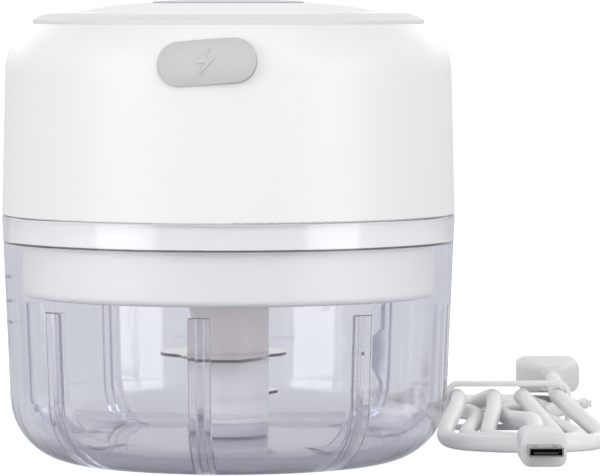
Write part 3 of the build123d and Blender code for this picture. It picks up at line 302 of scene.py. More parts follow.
# Oil-filled sintered bronze: brown gold with a fine grain
bronze = textured(
    "bronze_sintered", shades=("#b8925a", "#a37e4a"), gloss=(0.34, 0.48),
    patch=3, grain=0.15, relief=0.006, Metallic=1.0,
)
# Enamelled copper wire, wound round and round: red-brown gloss in close turns
copper = textured(
    "copper_enamelled", shades=("#c47a48", "#a95f32"), gloss=(0.22, 0.34),
    patch=3, grain=0.3, relief=0.05, stretch=(0.1, 0.1, 1.0), Metallic=1.0,
)
# Pressed carbon of the brushes: near black and dull
carbon = textured(
    "carbon_pressed", shades=("#29292a", "#1f1f20"), gloss=(0.5, 0.65),
    patch=3, grain=0.15, relief=0.008,
)
# Shrink sleeve of the cell: blue film with a tight gloss
sleeve_pvc = textured(
    "PVC_shrink_sleeve", shades=("#3f7ea0", "#38728f"), gloss=(0.22, 0.3),
    patch=10, grain=0.5, relief=0.002, IOR=1.53,
)
# Pad-printing ink on the clear wall: a thin matt grey
mark_ink = textured(
    "grey_pad_print", shades=("#a9a9b6", "#a0a0ae"), gloss=(0.45, 0.55),
    patch=2, grain=0.2, relief=0.001, IOR=1.5,
)

# Glass-fibre board under green solder mask: glossy, with a faint weave, drawn coarser so that it shows
weave_pitch = 1.25
weave_scale = pi / (10 * weave_pitch * mm)
board_mask, board_tree, board_surface = begin_material("glass_epoxy_green_mask", IOR=1.5)
board_place = add(board_tree, "ShaderNodeTexCoord").outputs["Object"]
weave_across = add(
    board_tree, "ShaderNodeTexWave", {"Vector": board_place, "Scale": weave_scale, "Distortion": 0.6},
)
weave_along = add(
    board_tree, "ShaderNodeTexWave", {"Vector": board_place, "Scale": weave_scale, "Distortion": 0.6},
    bands_direction="Y",
)
weave = add(
    board_tree, "ShaderNodeMath", {0: weave_across.outputs["Fac"], 1: weave_along.outputs["Fac"]},
    operation="MULTIPLY",
)
board_colour = add(
    board_tree, "ShaderNodeMix",
    {0: weave.outputs["Value"], 6: linear("#1f6b3a"), 7: linear("#2b7d47")}, data_type="RGBA",
)
board_tree.links.new(board_colour.outputs[2], board_surface.inputs["Base Color"])
board_gloss = add(
    board_tree, "ShaderNodeMapRange", {"Value": weave.outputs["Value"], "To Min": 0.24, "To Max": 0.34},
)
board_tree.links.new(board_gloss.outputs["Result"], board_surface.inputs["Roughness"])

# Styrene-acrylonitrile, polished: water-clear, lilac-grey where it is thick, dull at its foot and mouth
clear_san, san_tree, san_surface = begin_material(
    "clear_SAN_polished", IOR=1.57, Transmission_Weight=1.0, Base_Color=white,
)
san_place = add(san_tree, "ShaderNodeTexCoord").outputs["Object"]
san_height = add(san_tree, "ShaderNodeSeparateXYZ", {"Vector": san_place}).outputs["Z"]

# Its gloss: scuffed where it stands, satin at the mouth, with a faint haze between
scuff_top, scuff_roughness = 1.5, 0.16
mouth_start, mouth_end, mouth_roughness = 43.4, 44.6, 0.1
haze_patch, haze_least, haze_most = 9.0, 0.01, 0.035
san_scuff = add(
    san_tree, "ShaderNodeMapRange",
    {"Value": san_height, "From Max": scuff_top * mm, "To Min": scuff_roughness, "To Max": 0.0},
)
san_haze = add(
    san_tree, "ShaderNodeTexNoise",
    {"Vector": san_place, "Scale": 1 / (haze_patch * mm), "Detail": 3.0},
)
san_polish = add(
    san_tree, "ShaderNodeMapRange",
    {
        "Value": san_haze.outputs["Fac"],
        "From Min": noise_low,
        "From Max": noise_high,
        "To Min": haze_least,
        "To Max": haze_most,
    },
)
san_mouth = add(
    san_tree, "ShaderNodeMapRange",
    {
        "Value": san_height,
        "From Min": mouth_start * mm,
        "From Max": mouth_end * mm,
        "To Min": 0.0,
        "To Max": mouth_roughness,
    },
)
san_gloss = san_polish.outputs["Result"]
for zone in (san_scuff, san_mouth):
    duller = add(
        san_tree, "ShaderNodeMath", {0: san_gloss, 1: zone.outputs["Result"]}, operation="MAXIMUM",
    )
    san_gloss = duller.outputs["Value"]
san_tree.links.new(san_gloss, san_surface.inputs["Roughness"])

# Its form: soft flow waves of the moulding, and edges that are rounded enough to catch the light
flow_length, flow_depth, flow_strength = 14.0, 0.1, 0.25
edge_round = 0.35
san_flow = add(
    san_tree, "ShaderNodeTexNoise",
    {"Vector": san_place, "Scale": 1 / (flow_length * mm), "Detail": 1.0},
)
san_edge = add(san_tree, "ShaderNodeBevel", {"Radius": edge_round * mm}, samples=6)
san_bump = add(
    san_tree, "ShaderNodeBump",
    {
        "Strength": flow_strength,
        "Distance": flow_depth * mm,
        "Height": san_flow.outputs["Fac"],
        "Normal": san_edge.outputs["Normal"],
    },
)
san_tree.links.new(san_bump.outputs["Normal"], san_surface.inputs["Normal"])

# Its foot: the outer skin is darkened below a line that climbs from under the floor to the round corner,
# a painted shadow of the bowl standing on the floor
foot_painted_shade = linear("#d4d0d6")
skin_in, skin_out = 28.0, 42.0
skin_in_top, skin_out_top = 1.2, 5.6
skin_full, skin_none = -0.8, 0.2
san_flat = add(
    san_tree, "ShaderNodeVectorMath", {0: san_place, 1: (1.0, 1.0, 0.0)}, operation="MULTIPLY",
)
san_radius = add(san_tree, "ShaderNodeVectorMath", {0: san_flat.outputs["Vector"]}, operation="LENGTH")
san_skin = add(
    san_tree, "ShaderNodeMapRange",
    {
        "Value": san_radius.outputs["Value"],
        "From Min": skin_in * mm,
        "From Max": skin_out * mm,
        "To Min": skin_in_top * mm,
        "To Max": skin_out_top * mm,
    },
)
san_inward = add(
    san_tree, "ShaderNodeMath", {0: san_height, 1: san_skin.outputs["Result"]}, operation="SUBTRACT",
)
san_foot_shade = add(
    san_tree, "ShaderNodeMapRange",
    {"Value": san_inward.outputs["Value"], "From Min": skin_full * mm, "From Max": skin_none * mm},
)
# Painted shadow at the foot: the skin's colour goes from white to the darker grey-lilac
san_foot_shade_colour = add(
    san_tree, "ShaderNodeMix", {0: san_foot_shade.outputs["Result"], 6: foot_painted_shade, 7: white}, data_type="RGBA",
)
san_tree.links.new(san_foot_shade_colour.outputs[2], san_surface.inputs["Base Color"])

# Its light: shadow rays, and rays that have been caught in the wall for long, go straight through
longest_path = 6.0
shade_low, shade_high, shade_pass = 2.0, 5.0, 0.65
depth_tint, depth_density = linear("#b3b5c9"), 62.0
san_path = add(san_tree, "ShaderNodeLightPath")
san_caught = add(
    san_tree, "ShaderNodeMath",
    {0: san_path.outputs["Ray Depth"], 1: longest_path}, operation="GREATER_THAN",
)
san_open = add(
    san_tree, "ShaderNodeMath",
    {0: san_path.outputs["Is Shadow Ray"], 1: san_caught.outputs["Value"]}, operation="MAXIMUM",
)
san_shade = add(
    san_tree, "ShaderNodeMapRange",
    {
        "Value": san_height,
        "From Min": shade_low * mm,
        "From Max": shade_high * mm,
        "To Min": shade_pass,
        "To Max": 1.0,
    },
)
san_pass = add(san_tree, "ShaderNodeBsdfTransparent", {"Color": san_shade.outputs["Result"]})
san_mix = add(
    san_tree, "ShaderNodeMixShader",
    {0: san_open.outputs["Value"], 1: san_surface.outputs["BSDF"], 2: san_pass.outputs["BSDF"]},
)
san_volume = add(
    san_tree, "ShaderNodeVolumeAbsorption", {"Color": depth_tint, "Density": depth_density},
)
san_end = san_tree.nodes["Material Output"]
san_tree.links.new(san_mix.outputs["Shader"], san_end.inputs["Surface"])
san_tree.links.new(san_volume.outputs["Volume"], san_end.inputs["Volume"])

# Each solid takes the finish of its slot, apart from a few with a finish of their own
finishes = {
    "clear_plastic": clear_san,
    "hub_plastic": hub_pp,
    "collar_plastic": collar_pp,
    "blade_steel": blade_steel,
    "white_plastic": white_abs,
    "grey_plastic": grey_abs,
    "panel_plastic": panel_abs,
    "button_plastic": button_abs,
    "silicone": silicone,
    "screw_steel": zinc_steel,
    "board_laminate": board_mask,
    "black_plastic": black_nylon,
    "connector_steel": nickel,
    "inner_plastic": inner_abs,
    "motor_steel": motor_steel,
    "core_iron": core_iron,
    "magnet": ferrite,
    "bronze": bronze,
    "copper": copper,
    "carbon": carbon,
    "battery_can": sleeve_pvc,
    "cable_pvc": cable_pvc,
    "plug_pvc": plug_pvc,
}
for node in frame["nodes"].values():
    slot = node.data.materials[0].name
    node.data.materials[0] = finishes[slot]
# Own finishes: the small tip's painted dark reflection, the seal's white, and the plug's white with
# painted light
for name, finish in (("micro_usb_tip", nickel_painted_dark_reflection), ("seal_ring", seal_white), ("base_plug", plug_white_painted_light)):
    frame["nodes"][name].data.materials[0] = finish


# Modelling
def begin(primitive, **settings):
    """Adds a primitive by itself at its place, and opens it for editing in the frame's own axes."""
    bpy.ops.object.select_all(action="DESELECT")
    primitive(**settings)
    bpy.ops.object.transform_apply(location=True, rotation=True, scale=True)
    bpy.ops.object.mode_set(mode="EDIT")


def begin_block(middle, size):
    """Begins a block from its middle and its size in millimetres."""
    begin(
        bpy.ops.mesh.primitive_cube_add, size=1.0, location=Vector(middle) * mm, scale=Vector(size) * mm,
    )


def begin_ring(radius, thickness, z):
    """Begins a level round ring from its radius, half its thickness and its height in millimetres."""
    begin(
        bpy.ops.mesh.primitive_torus_add,
        major_radius=radius * mm,
        minor_radius=thickness * mm,
        major_segments=160,
        minor_segments=12,
        location=(0, 0, z * mm),
    )


def extrude(x=0.0, y=0.0, z=0.0):
    """Draws what is selected out by a distance in millimetres."""
    bpy.ops.mesh.extrude_region_move(TRANSFORM_OT_translate={"value": (x * mm, y * mm, z * mm)})


def choose(kind, test):
    """Selects only the corners, edges or faces that pass a test; kind is VERT, EDGE or FACE."""
    bpy.ops.mesh.select_mode(type=kind)
    bpy.ops.mesh.select_all(action="DESELECT")
    drawn = bmesh.from_edit_mesh(bpy.context.object.data)
    for part in {"VERT": drawn.verts, "EDGE": drawn.edges, "FACE": drawn.faces}[kind]:
        part.select_set(test(part))
    bmesh.update_edit_mesh(bpy.context.object.data)


def faces_along(*direction):
    """Test for faces that look along a direction."""
    return lambda face: face.normal.dot(Vector(direction)) > 0.9


def runs_along_y(length):
    """Test for edges along y that are longer than half a length in millimetres."""
    return lambda edge: abs((edge.verts[0].co - edge.verts[1].co).y) > 0.5 * length * mm


def close(name, body, finish, edge=0.0, segments=2, smooth=40):
    """Leaves editing and finishes a piece: bevelled edges, smooth shading, its finish and its body."""
    bpy.ops.mesh.select_all(action="SELECT")
    bpy.ops.mesh.remove_doubles(threshold=1e-6)
    bpy.ops.mesh.normals_make_consistent(inside=False)
    bpy.ops.object.mode_set(mode="OBJECT")
    piece = bpy.context.object
    piece.name = name
    piece.data.name = name
    if edge:
        rounding = piece.modifiers.new("edges", "BEVEL")
        rounding.width = edge
        rounding.segments = segments
        rounding.limit_method = "ANGLE"
        rounding.angle_limit = radians(35)
        bpy.ops.object.modifier_apply(modifier="edges")
    bpy.ops.object.shade_smooth_by_angle(angle=radians(smooth))
    piece.data.materials.clear()
    piece.data.materials.append(finish)
    if body:
        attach(piece, body)
    return piece


def copy_of(piece, name, body, shift):
    """A copy of a finished piece with a mesh of its own, shifted along x by a distance in millimetres."""
    double = piece.copy()
    double.name = name
    double.data = piece.data.copy()
    double.data.name = name
    double.data.transform(Matrix.Translation((shift * mm, 0, 0)))
    bpy.context.scene.collection.objects.link(double)
    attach(double, body)
    return double


# Charging cable: one smooth line through the hank, repeated from the part's source
cord_radius = 1.7
floor_fit = 0.02
lead_x, lead_y = 58.5, 60.0
hank_turns = 3
hank_waist = 11.2
hank_reach, hank_reach_step = 51.0, 3.85
hank_swell, hank_swell_step = 33.0, 6.9
hank_layer = 4.1
hank_lean, hank_far_lean = 1.5, -0.7
hank_far_growth = 0.24
hank_settle = 2.5
hank_side = 0.136
tie_thickness, tie_clearance = 1.1, 0.35
tie_lift = tie_thickness + tie_clearance
lobe_start = cos(2 * pi * hank_side)
points_per_turn = 24


def hank_point(turn):
    """Centre line of the hank, with turns counted from the first pass through the tie."""
    angle = -2 * pi * turn
    far = sin(angle)
    waist = hank_waist * (1 - turn / hank_turns)
    swell = (hank_swell - hank_swell_step * turn) * (1 + hank_far_growth * far)
    across = cos(angle) * (waist + swell * far**2) - hank_lean * far - hank_far_lean * far**2
    along = (hank_reach - hank_reach_step * turn) * far
    layer = 1 - int(turn + 0.25) % 2
    drawn_in = max(0, (abs(cos(angle)) - lobe_start) / (1 - lobe_start)) ** hank_settle
    lift = (tie_lift + hank_layer * layer) * drawn_in
    return Vector((lead_x + across, lead_y + along, cord_radius + floor_fit + lift))


plug_a_x, plug_a_z = 71.0, 8.2
plug_b_x, plug_b_z = 61.8, 3.5
plug_a_end = Vector((plug_a_x, 91.0, plug_a_z))
plug_b_end = Vector((plug_b_x, -2.0, plug_b_z))
route = [plug_a_end, Vector((71.0, 87.6, 8.2)), Vector((71.0, 82.0, 8.1)), Vector((70.6, 74.0, 7.8))]
route += [hank_point(step / points_per_turn) for step in range(hank_turns * points_per_turn + 1)]
route += [
    Vector((58.9, 52.0, 3.3)),
    Vector((59.8, 42.0, 4.0)),
    Vector((61.0, 30.0, 5.0)),
    Vector((61.8, 18.0, 5.95)),
    Vector((61.8, 9.0, 5.95)),
    Vector((61.8, 3.5, 3.9)),
    Vector((61.8, 1.4, 3.5)),
    plug_b_end,
]
cable_line = bpy.data.curves.new("charging_cable_line", "CURVE")
cable_line.dimensions = "3D"
spline = cable_line.splines.new("NURBS")
spline.points.add(len(route) - 1)
for point, place in zip(spline.points, route):
    point.co = (*(place * mm), 1.0)
spline.order_u = 3
spline.use_endpoint_u = True
spline.resolution_u = 6
cable_line.bevel_depth = cord_radius * mm
cable_line.bevel_resolution = 5
cable_line.materials.append(cable_pvc)
cable = bpy.data.objects.new("cable", cable_line)
bpy.context.scene.collection.objects.link(cable)
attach(cable, "charging_lead")
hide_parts("charging_cable")


def plug_grip(name, stands_for, start, size, corner, heading, stations):
    """A moulded grip: a rounded block that is drawn out along y, towards the cable.

    size is the block's width, length and height, corner the radius along it, heading 1 or -1, and each
    station a step along y with the width and height there.
    """
    width, length, height = size
    begin_block(start + Vector((0, heading * length / 2, 0)), size)
    choose("EDGE", runs_along_y(length))
    bpy.ops.mesh.bevel(offset=corner * mm, segments=4, affect="EDGES")
    choose("FACE", faces_along(0, heading, 0))
    reach = start.y + heading * length
    for step, next_width, next_height in stations:
        reach += heading * step
        extrude(y=heading * step)
        bpy.ops.transform.resize(
            value=(next_width / width, 1, next_height / height),
            center_override=(start.x * mm, reach * mm, start.z * mm),
        )
        width, height = next_width, next_height
    grip = close(name, "charging_lead", plug_pvc, edge=0.45 * mm, segments=3, smooth=50)
    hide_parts(stands_for)
    return grip


usb_a_grip = plug_grip(
    "usb_a_overmould",
    "usb_a_grip",
    start=Vector((plug_a_x, 109.0, plug_a_z)),
    size=(13.6, 8.0, 7.6),
    corner=2.2,
    heading=-1,
    stations=[(2.0, 13.1, 7.4), (2.2, 11.4, 6.9), (2.4, 8.8, 6.2), (1.9, 6.6, 5.6), (1.5, 5.4, 5.4)],
)
micro_usb_grip = plug_grip(
    "micro_usb_overmould",
    "micro_usb_grip",
    start=Vector((plug_b_x, -17.0, plug_b_z)),
    size=(9.1, 12.2, 7.0),
    corner=1.8,
    heading=1,
    stations=[(1.0, 8.8, 6.5), (0.02, 5.6, 5.4), (1.78, 5.4, 5.2)],
)

# Four contacts on the tongue of the large plug, bent down at the tip
contact_y, contact_z = 116.0, 8.41
contact_size = (1.0, 8.6, 0.14)
contact_tip, contact_bend = 0.3, 0.06
contact_edge = 0.05
contact_first, *contact_others = -3.5, -1.0, 1.0, 3.5
begin_block((plug_a_x + contact_first, contact_y, contact_z), contact_size)
choose("FACE", faces_along(0, 1, 0))
extrude(y=contact_tip, z=-contact_bend)
contacts = [close("usb_contact_1", "charging_lead", gold_flash, edge=contact_edge * mm)]
for count, place in enumerate(contact_others, start=2):
    name = "usb_contact_%d" % count
    contacts.append(copy_of(contacts[0], name, "charging_lead", shift=place - contact_first))

# Black insert of the small tip, with a tapered nose
insert_y, insert_z = -19.9, 3.25
insert_size = (5.0, 5.6, 0.55)
insert_nose, insert_nose_width, insert_nose_height = 0.3, 0.94, 0.7
insert_nose_end = Vector((plug_b_x, insert_y - insert_size[1] / 2 - insert_nose, insert_z))
begin_block((plug_b_x, insert_y, insert_z), insert_size)
choose("FACE", faces_along(0, -1, 0))
extrude(y=-insert_nose)
bpy.ops.transform.resize(
    value=(insert_nose_width, 1, insert_nose_height), center_override=insert_nose_end * mm,
)
tip_insert = close("micro_usb_insert", "charging_lead", black_nylon, edge=0.06 * mm)

# Two sprung latches on the small tip
latch_y, latch_z = -20.0, 4.5
latch_size = (0.7, 1.9, 0.16)
latch_slope = 0.12
latch_edge = 0.05
latch_side = 1.9
begin_block((plug_b_x - latch_side, latch_y, latch_z), latch_size)
choose("FACE", faces_along(0, 0, 1))
bpy.ops.mesh.inset(thickness=latch_slope * mm, depth=latch_slope * mm)
latch = close("micro_usb_latch_1", "charging_lead", nickel_painted_dark_reflection, edge=latch_edge * mm)
latches = [
    latch,
    copy_of(latch, "micro_usb_latch_2", "charging_lead", shift=2 * latch_side),
]

# Tie: a flat band round the waist, drawn tight, with its twisted end at the right
tie_low, tie_high = [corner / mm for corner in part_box("cable_tie")]
tie_size = tie_high - tie_low
tie_corner = 2.8
begin_block((tie_low + tie_high) / 2, tie_size)
choose("FACE", lambda face: abs(face.normal.y) > 0.9)
bpy.ops.mesh.delete(type="ONLY_FACE")
choose("EDGE", runs_along_y(tie_size.y))
bpy.ops.mesh.bevel(offset=tie_corner * mm, segments=6, affect="EDGES")
bpy.ops.mesh.select_all(action="SELECT")
bpy.ops.mesh.normals_make_consistent(inside=False)
bpy.ops.object.mode_set(mode="OBJECT")
band = bpy.context.object
wall = band.modifiers.new("wall", "SOLIDIFY")
wall.thickness = tie_thickness * mm
wall.offset = -1.0
bpy.ops.object.modifier_apply(modifier="wall")
bpy.ops.object.mode_set(mode="EDIT")
tie_band = close("tie_band", "charging_lead", cable_pvc, edge=0.3 * mm, segments=3)
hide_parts("cable_tie")

twist_size = Vector((0.8, 1.2, 2.4))
twist_z = 5.6
twist_steps, twist_step, twist_turn = 8, 0.55, radians(38)
twist_start = Vector((tie_high.x - twist_size.x / 2, (tie_low.y + tie_high.y) / 2, twist_z))
begin_block(twist_start, twist_size)
choose("FACE", faces_along(1, 0, 0))
reach = twist_start + Vector((twist_size.x / 2, 0, 0))
for step in range(twist_steps):
    reach = reach + Vector((twist_step, 0, 0))
    extrude(x=twist_step)
    bpy.ops.transform.rotate(value=twist_turn, orient_axis="X", center_override=reach * mm)
tie_end = close("tie_twist", "charging_lead", cable_pvc, edge=0.16 * mm, smooth=60)

# Port cover: one soft strap that bends at its fold and lies on the wall, with a symbol and a stub
record = frame["record"]
port = next(mount for mount in record["mounts"] if mount["name"] == "charging_port")
swing = next(joint for joint in record["behaviour"]["joints"] if joint["name"] == "cover_swing")
port_outward = Vector(port["axis"]).normalized()
port_up = -Vector(swing["axis"]).normalized()
port_across = port_up.cross(port_outward)
port_middle = Vector(port["pos_m"]) / mm
cover_length, cover_width, cover_thickness = 18.6, 8.2, 1.8
cover_sunk = 0.6
cover_lap = 0.28
recess_gap = 0.05
lip_height = 0.4
lip_proud = 0.08
# Steps of the crown from the rim to the middle: how far in and how far up
cover_crown = ((0.2, 0.16), (0.5, 0.24), (1.0, 0.3), (1.4, 0.2), (0.7, 0.04))
crown_height = lip_height + lip_proud + sum(rise for inward, rise in cover_crown)
ajar = radians(3.5)
face_middle = port_middle - port_outward * cover_sunk
face_axes = Matrix((port_across, port_up, port_outward)).transposed()
fold_x = (Vector(swing["pos_m"]) / mm - face_middle).dot(port_across)
fold_half, fold_cuts = 0.9, 3
bend_pitch, bend_offset, bend_height = 1.2, 0.1, 0.95
# A hair's breadth, to tell what lies beyond a line from what lies on it
hair = 0.01
# How the housing's wall falls away from the port's middle: its bow across, its lean and its bow upwards
wall_across, wall_slope, wall_up = 0.0114, 0.0793, 0.0354


def wall_level(x, y):
    """Height of the housing's wall over the port's face, in millimetres."""
    return cover_sunk - wall_across * x**2 - wall_slope * y - wall_up * y**2


def stadium(length, width, level):
    """Begins a flat outline with round ends, lying level in its own axes."""
    begin(
        bpy.ops.mesh.primitive_circle_add,
        vertices=64,
        radius=width / 2 * mm,
        fill_type="NGON",
        location=(0, 0, level * mm),
    )
    for side in (-1, 1):
        choose("VERT", lambda vert: vert.co.x * side > hair * mm)
        bpy.ops.transform.translate(value=(side * (length - width) / 2 * mm, 0, 0))
    bpy.ops.mesh.select_all(action="SELECT")


def cut_across(place, normal):
    """Cuts the whole mesh along a plane, so that it can bend there."""
    bpy.ops.mesh.select_all(action="SELECT")
    bpy.ops.mesh.bisect(plane_co=place * mm, plane_no=normal, use_fill=False)


def lay_on_wall():
    """Lets everything above the port's recess follow the wall."""
    drawn = bmesh.from_edit_mesh(bpy.context.object.data)
    for vert in drawn.verts:
        if vert.co.z > -hair * mm:
            vert.co.z += (wall_level(vert.co.x / mm, vert.co.y / mm) + lip_proud) * mm
    bmesh.update_edit_mesh(bpy.context.object.data)


def swing_open():
    """Turns what lies right of the fold out to where the cover stands ajar."""
    choose("VERT", lambda vert: vert.co.x > (fold_x + hair) * mm)
    bpy.ops.transform.rotate(value=ajar, orient_axis="Y", center_override=(fold_x * mm, 0, 0))


def set_on_port(piece):
    """Puts a piece that was made level onto the port's plane."""
    piece.data.transform(Matrix.Translation(face_middle * mm) @ face_axes.to_4x4())


stadium(cover_length + 2 * cover_lap, cover_width + 2 * cover_lap, 0.0)
extrude(z=lip_height)
for inward, rise in cover_crown:
    bpy.ops.mesh.inset(thickness=inward * mm, depth=rise * mm)
bpy.ops.mesh.select_all(action="SELECT")
bpy.ops.mesh.normals_make_consistent(inside=False)
choose("FACE", faces_along(0, 0, -1))
bpy.ops.mesh.inset(thickness=(cover_lap + recess_gap) * mm)
extrude(z=-cover_thickness)
for step in range(-fold_cuts, fold_cuts + 1):
    cut_across(Vector((fold_x + step * fold_half / fold_cuts, 0, 0)), (1, 0, 0))
for step in range(-3, 8):
    cut_across(Vector((bend_pitch * step + bend_offset, 0, 0)), (1, 0, 0))
for step in range(-3, 4):
    cut_across(Vector((0, bend_height * step, 0)), (0, 1, 0))
lay_on_wall()
swing_open()
cover_strap = close("port_cover_strap", None, silicone, smooth=55)
set_on_port(cover_strap)
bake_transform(cover_strap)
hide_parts("cover_anchor", "port_cover")

stub_length, stub_width, stub_depth, stub_root = 8.6, 5.4, 2.0, 0.3
stadium(stub_length, stub_width, -cover_thickness - stub_depth)
extrude(z=stub_depth + stub_root)
swing_open()
cover_stub = close("port_cover_stub", "port_flap", silicone, edge=0.35 * mm, segments=3)
set_on_port(cover_stub)

bolt_corners = [(1.0, 2.5), (-2.1, -0.5), (-0.2, -0.4), (-1.1, -2.5), (2.2, 0.55), (0.25, 0.45)]
bolt_rise, bolt_root = 0.16, 0.4
begin(
    bpy.ops.mesh.primitive_circle_add,
    vertices=len(bolt_corners),
    radius=2 * mm,
    fill_type="NGON",
)
drawn = bmesh.from_edit_mesh(bpy.context.object.data)
for vert, corner in zip(drawn.verts, bolt_corners):
    vert.co = Vector((*corner, crown_height - bolt_root)) * mm
bmesh.update_edit_mesh(bpy.context.object.data)
bpy.ops.mesh.select_all(action="SELECT")
extrude(z=bolt_rise + bolt_root)
for step in range(-2, 3):
    cut_across(Vector((0, step, 0)), (0, 1, 0))
lay_on_wall()
swing_open()
charge_symbol = close("charge_symbol", "port_flap", silicone, edge=0.13 * mm)
set_on_port(charge_symbol)

# Bright bead where the panel's polished edge meets the ring: its gloss catches the light, and its pure
# white is a painted highlight
panel_low, panel_high = [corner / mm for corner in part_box("top_panel")]
bead_radius = (panel_high.x - panel_low.x) / 2
bead_thickness, bead_flatness = 0.32, 0.8
bead_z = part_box("top_ring")[1].z / mm
begin_ring(bead_radius, bead_thickness, bead_z)
bpy.ops.mesh.select_all(action="SELECT")
bpy.ops.transform.resize(value=(1, 1, bead_flatness), center_override=(0, 0, bead_z * mm))
close("panel_bead", "motor_head", bead_painted_highlight)

# Grey ring under the mouth seal, which rests on the bowl's ledge: a painted shade line where the seal
# meets the ledge
shade_line_radius, shade_line_thickness, shade_line_flatness = 42.7, 0.8, 0.28
shade_line_z = 43.95
begin_ring(shade_line_radius, shade_line_thickness, shade_line_z)
bpy.ops.mesh.select_all(action="SELECT")
bpy.ops.transform.resize(value=(1, 1, shade_line_flatness), center_override=(0, 0, shade_line_z * mm))
close("seal_lip", "motor_head", shade_line_grey)

# Foot of the blade's hub: a white band over a lilac skirt that ends just above the bowl's floor
foot_radius, foot_bore, foot_edge = 8.0, 5.6, 0.3
skirt_bottom, skirt_top = 3.15, 6.5
band_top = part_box("hub_foot")[1].z / mm
for name, bottom, top, finish in (
    ("hub_skirt", skirt_bottom, skirt_top, foot_pp),
    ("hub_band", skirt_top, band_top, hub_pp),
):
    begin(
        bpy.ops.mesh.primitive_cylinder_add,
        vertices=96,
        radius=foot_radius * mm,
        depth=(top - bottom) * mm,
        end_fill_type="NGON",
        location=(0, 0, (top + bottom) / 2 * mm),
    )
    choose("FACE", lambda face: abs(face.normal.z) > 0.9)
    bpy.ops.mesh.inset(thickness=(foot_radius - foot_bore) * mm, use_individual=True)
    bpy.ops.mesh.delete(type="ONLY_FACE")
    choose("EDGE", lambda edge: edge.is_boundary)
    bpy.ops.mesh.bridge_edge_loops()
    close(name, "blade", finish, edge=foot_edge * mm, segments=3)
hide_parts("hub_foot")

# Level marks on the left of the bowl's wall: short printed strokes that follow its curve
bowl_base_radius, bowl_top_radius, bowl_height = 42.95, 45.0, 49.0
mark_width, mark_ink_depth = 0.5, 0.12
mark_half = radians(3.9)
mark_start = radians(-166.0) - mark_half
for count, height in enumerate((36.8, 32.0, 27.8), start=1):
    radius = bowl_base_radius + (bowl_top_radius - bowl_base_radius) * height / bowl_height
    begin(
        bpy.ops.mesh.primitive_plane_add,
        size=mark_width * mm,
        location=(mark_width / 2 * mm, 0, height * mm),
        rotation=(pi / 2, 0, 0),
    )
    choose("VERT", lambda vert: vert.co.x > mark_width / 2 * mm)
    bpy.ops.mesh.delete(type="VERT")
    bpy.ops.mesh.select_mode(type="EDGE")
    bpy.ops.mesh.select_all(action="SELECT")
    bpy.ops.transform.translate(value=(radius * cos(mark_start) * mm, radius * sin(mark_start) * mm, 0))
    bpy.ops.mesh.spin(steps=8, angle=2 * mark_half, center=(0, 0, 0), axis=(0, 0, 1))
    bpy.ops.mesh.select_all(action="SELECT")
    bpy.ops.mesh.extrude_region_shrink_fatten(TRANSFORM_OT_shrink_fatten={"value": mark_ink_depth * mm})
    close("level_mark_%d" % count, "bowl", mark_ink)


# Stage
def seen_directly(tree):
    """A socket that is 1 for rays from the eye, also by way of gloss or the clear wall, and else 0."""
    path = add(tree, "ShaderNodeLightPath")
    seen = path.outputs["Is Camera Ray"]
    for kind in ("Is Glossy Ray", "Is Transmission Ray"):
        either = add(tree, "ShaderNodeMath", {0: seen, 1: path.outputs[kind]}, operation="MAXIMUM")
        seen = either.outputs["Value"]
    unlit = add(
        tree, "ShaderNodeMath", {0: path.outputs["Diffuse Depth"], 1: 0.5}, operation="LESS_THAN",
    )
    both = add(tree, "ShaderNodeMath", {0: seen, 1: unlit.outputs["Value"]}, operation="MULTIPLY")
    return both.outputs["Value"]


# Floor of matt paper: white to the eye with the object's soft shadow, greyer and cooler through the bowl
floor_radius, floor_drop = 30.0, 0.1
paper_body, paper_shade = linear("#e7e7e7"), linear("#b3b3b5")
paper_glow_colour = linear("#f1f5ff")
glow_through_bowl, glow_to_eye = 0.41, 1.0
bpy.ops.object.select_all(action="DESELECT")
bpy.ops.mesh.primitive_circle_add(
    vertices=96, radius=floor_radius, fill_type="NGON", location=(0, 0, -floor_drop * mm),
)
floor = bpy.context.object
floor.name = "studio_floor"
paper, paper_tree, paper_surface = begin_material(
    "matt_paper_sweep", Roughness=0.9, Base_Color=paper_body,
)
paper_seen = seen_directly(paper_tree)
paper_eye = add(paper_tree, "ShaderNodeLightPath").outputs["Is Camera Ray"]
paper_plain = add(paper_tree, "ShaderNodeBsdfDiffuse", {"Color": paper_shade})
paper_level = add(
    paper_tree, "ShaderNodeMapRange",
    {"Value": paper_eye, "To Min": glow_through_bowl, "To Max": glow_to_eye},
)
paper_glow = add(
    paper_tree, "ShaderNodeEmission",
    {"Color": paper_glow_colour, "Strength": paper_level.outputs["Result"]},
)
paper_white = add(
    paper_tree, "ShaderNodeAddShader",
    {0: paper_plain.outputs["BSDF"], 1: paper_glow.outputs["Emission"]},
)
paper_mix = add(
    paper_tree, "ShaderNodeMixShader",
    {0: paper_seen, 1: paper_surface.outputs["BSDF"], 2: paper_white.outputs["Shader"]},
)
paper_end = paper_tree.nodes["Material Output"]
paper_tree.links.new(paper_mix.outputs["Shader"], paper_end.inputs["Surface"])
floor.data.materials.append(paper)

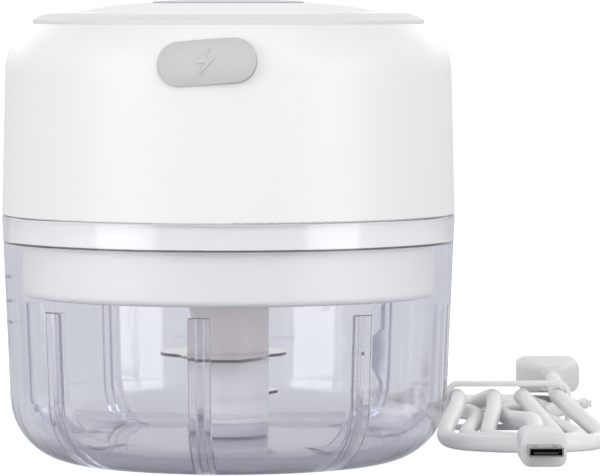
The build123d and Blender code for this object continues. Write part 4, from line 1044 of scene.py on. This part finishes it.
# World: a white room to the eye, a plain soft light to the object
room_level = 0.36
world = bpy.data.worlds.new("white_studio")
world.use_nodes = True
bpy.context.scene.world = world
room = world.node_tree
room_seen = seen_directly(room)
room_light = room.nodes["Background"]
room_light.inputs["Color"].default_value = white
room_light.inputs["Strength"].default_value = room_level
room_white = add(room, "ShaderNodeBackground", {"Color": white, "Strength": 1.0})
room_mix = add(
    room, "ShaderNodeMixShader",
    {0: room_seen, 1: room_light.outputs["Background"], 2: room_white.outputs["Background"]},
)
room.links.new(room_mix.outputs["Shader"], room.nodes["World Output"].inputs["Surface"])


# Soft boxes: low ones beside the bowl that it mirrors, high ones for the head, two more for the back
lamp_target = Vector((0, 0, 0.05))


def soft_box(name, place, size, watts):
    """A square lamp that looks at the object."""
    lamp = bpy.data.lights.new(name, "AREA")
    lamp.size = size
    lamp.energy = watts
    holder = bpy.data.objects.new(name, lamp)
    holder.location = place
    holder.rotation_euler = (lamp_target - Vector(place)).to_track_quat("-Z", "Y").to_euler()
    bpy.context.scene.collection.objects.link(holder)


soft_box("key_box", place=(-0.42, -0.32, 0.15), size=0.3, watts=0.9)
soft_box("fill_box", place=(0.42, -0.31, 0.14), size=0.27, watts=0.75)
soft_box("front_box", place=(0.1, -1.05, 0.8), size=0.7, watts=1.9)
soft_box("top_box", place=(0.0, -0.5, 1.2), size=0.9, watts=3.3)
soft_box("rim_box", place=(0.1, 0.9, 0.9), size=0.9, watts=1.7)
soft_box("back_left_box", place=(-0.5, 0.75, 0.4), size=0.4, watts=0.9)
soft_box("back_right_box", place=(0.5, 0.75, 0.4), size=0.4, watts=0.9)

# Camera at the photograph's viewing angle: level with the top, looking a little right and down
photo_width_px = 600
focal_px = 4527
aim_right_px, aim_down_px = 71.5, 239
eye_distance, eye_height = 0.9, 0.0916
camera = bpy.data.cameras.new("camera")
camera.sensor_width = 36.0
camera.lens = round(camera.sensor_width * focal_px / photo_width_px, 1)
camera.clip_end = 100.0
viewer = bpy.data.objects.new("camera", camera)
viewer.location = (0.0, -eye_distance, eye_height)
line_of_sight = Vector((aim_right_px / focal_px, 1.0, -aim_down_px / focal_px))
viewer.rotation_euler = line_of_sight.to_track_quat("-Z", "Y").to_euler()
bpy.context.scene.collection.objects.link(viewer)
bpy.context.scene.camera = viewer
bpy.context.scene.view_settings.view_transform = "Standard"
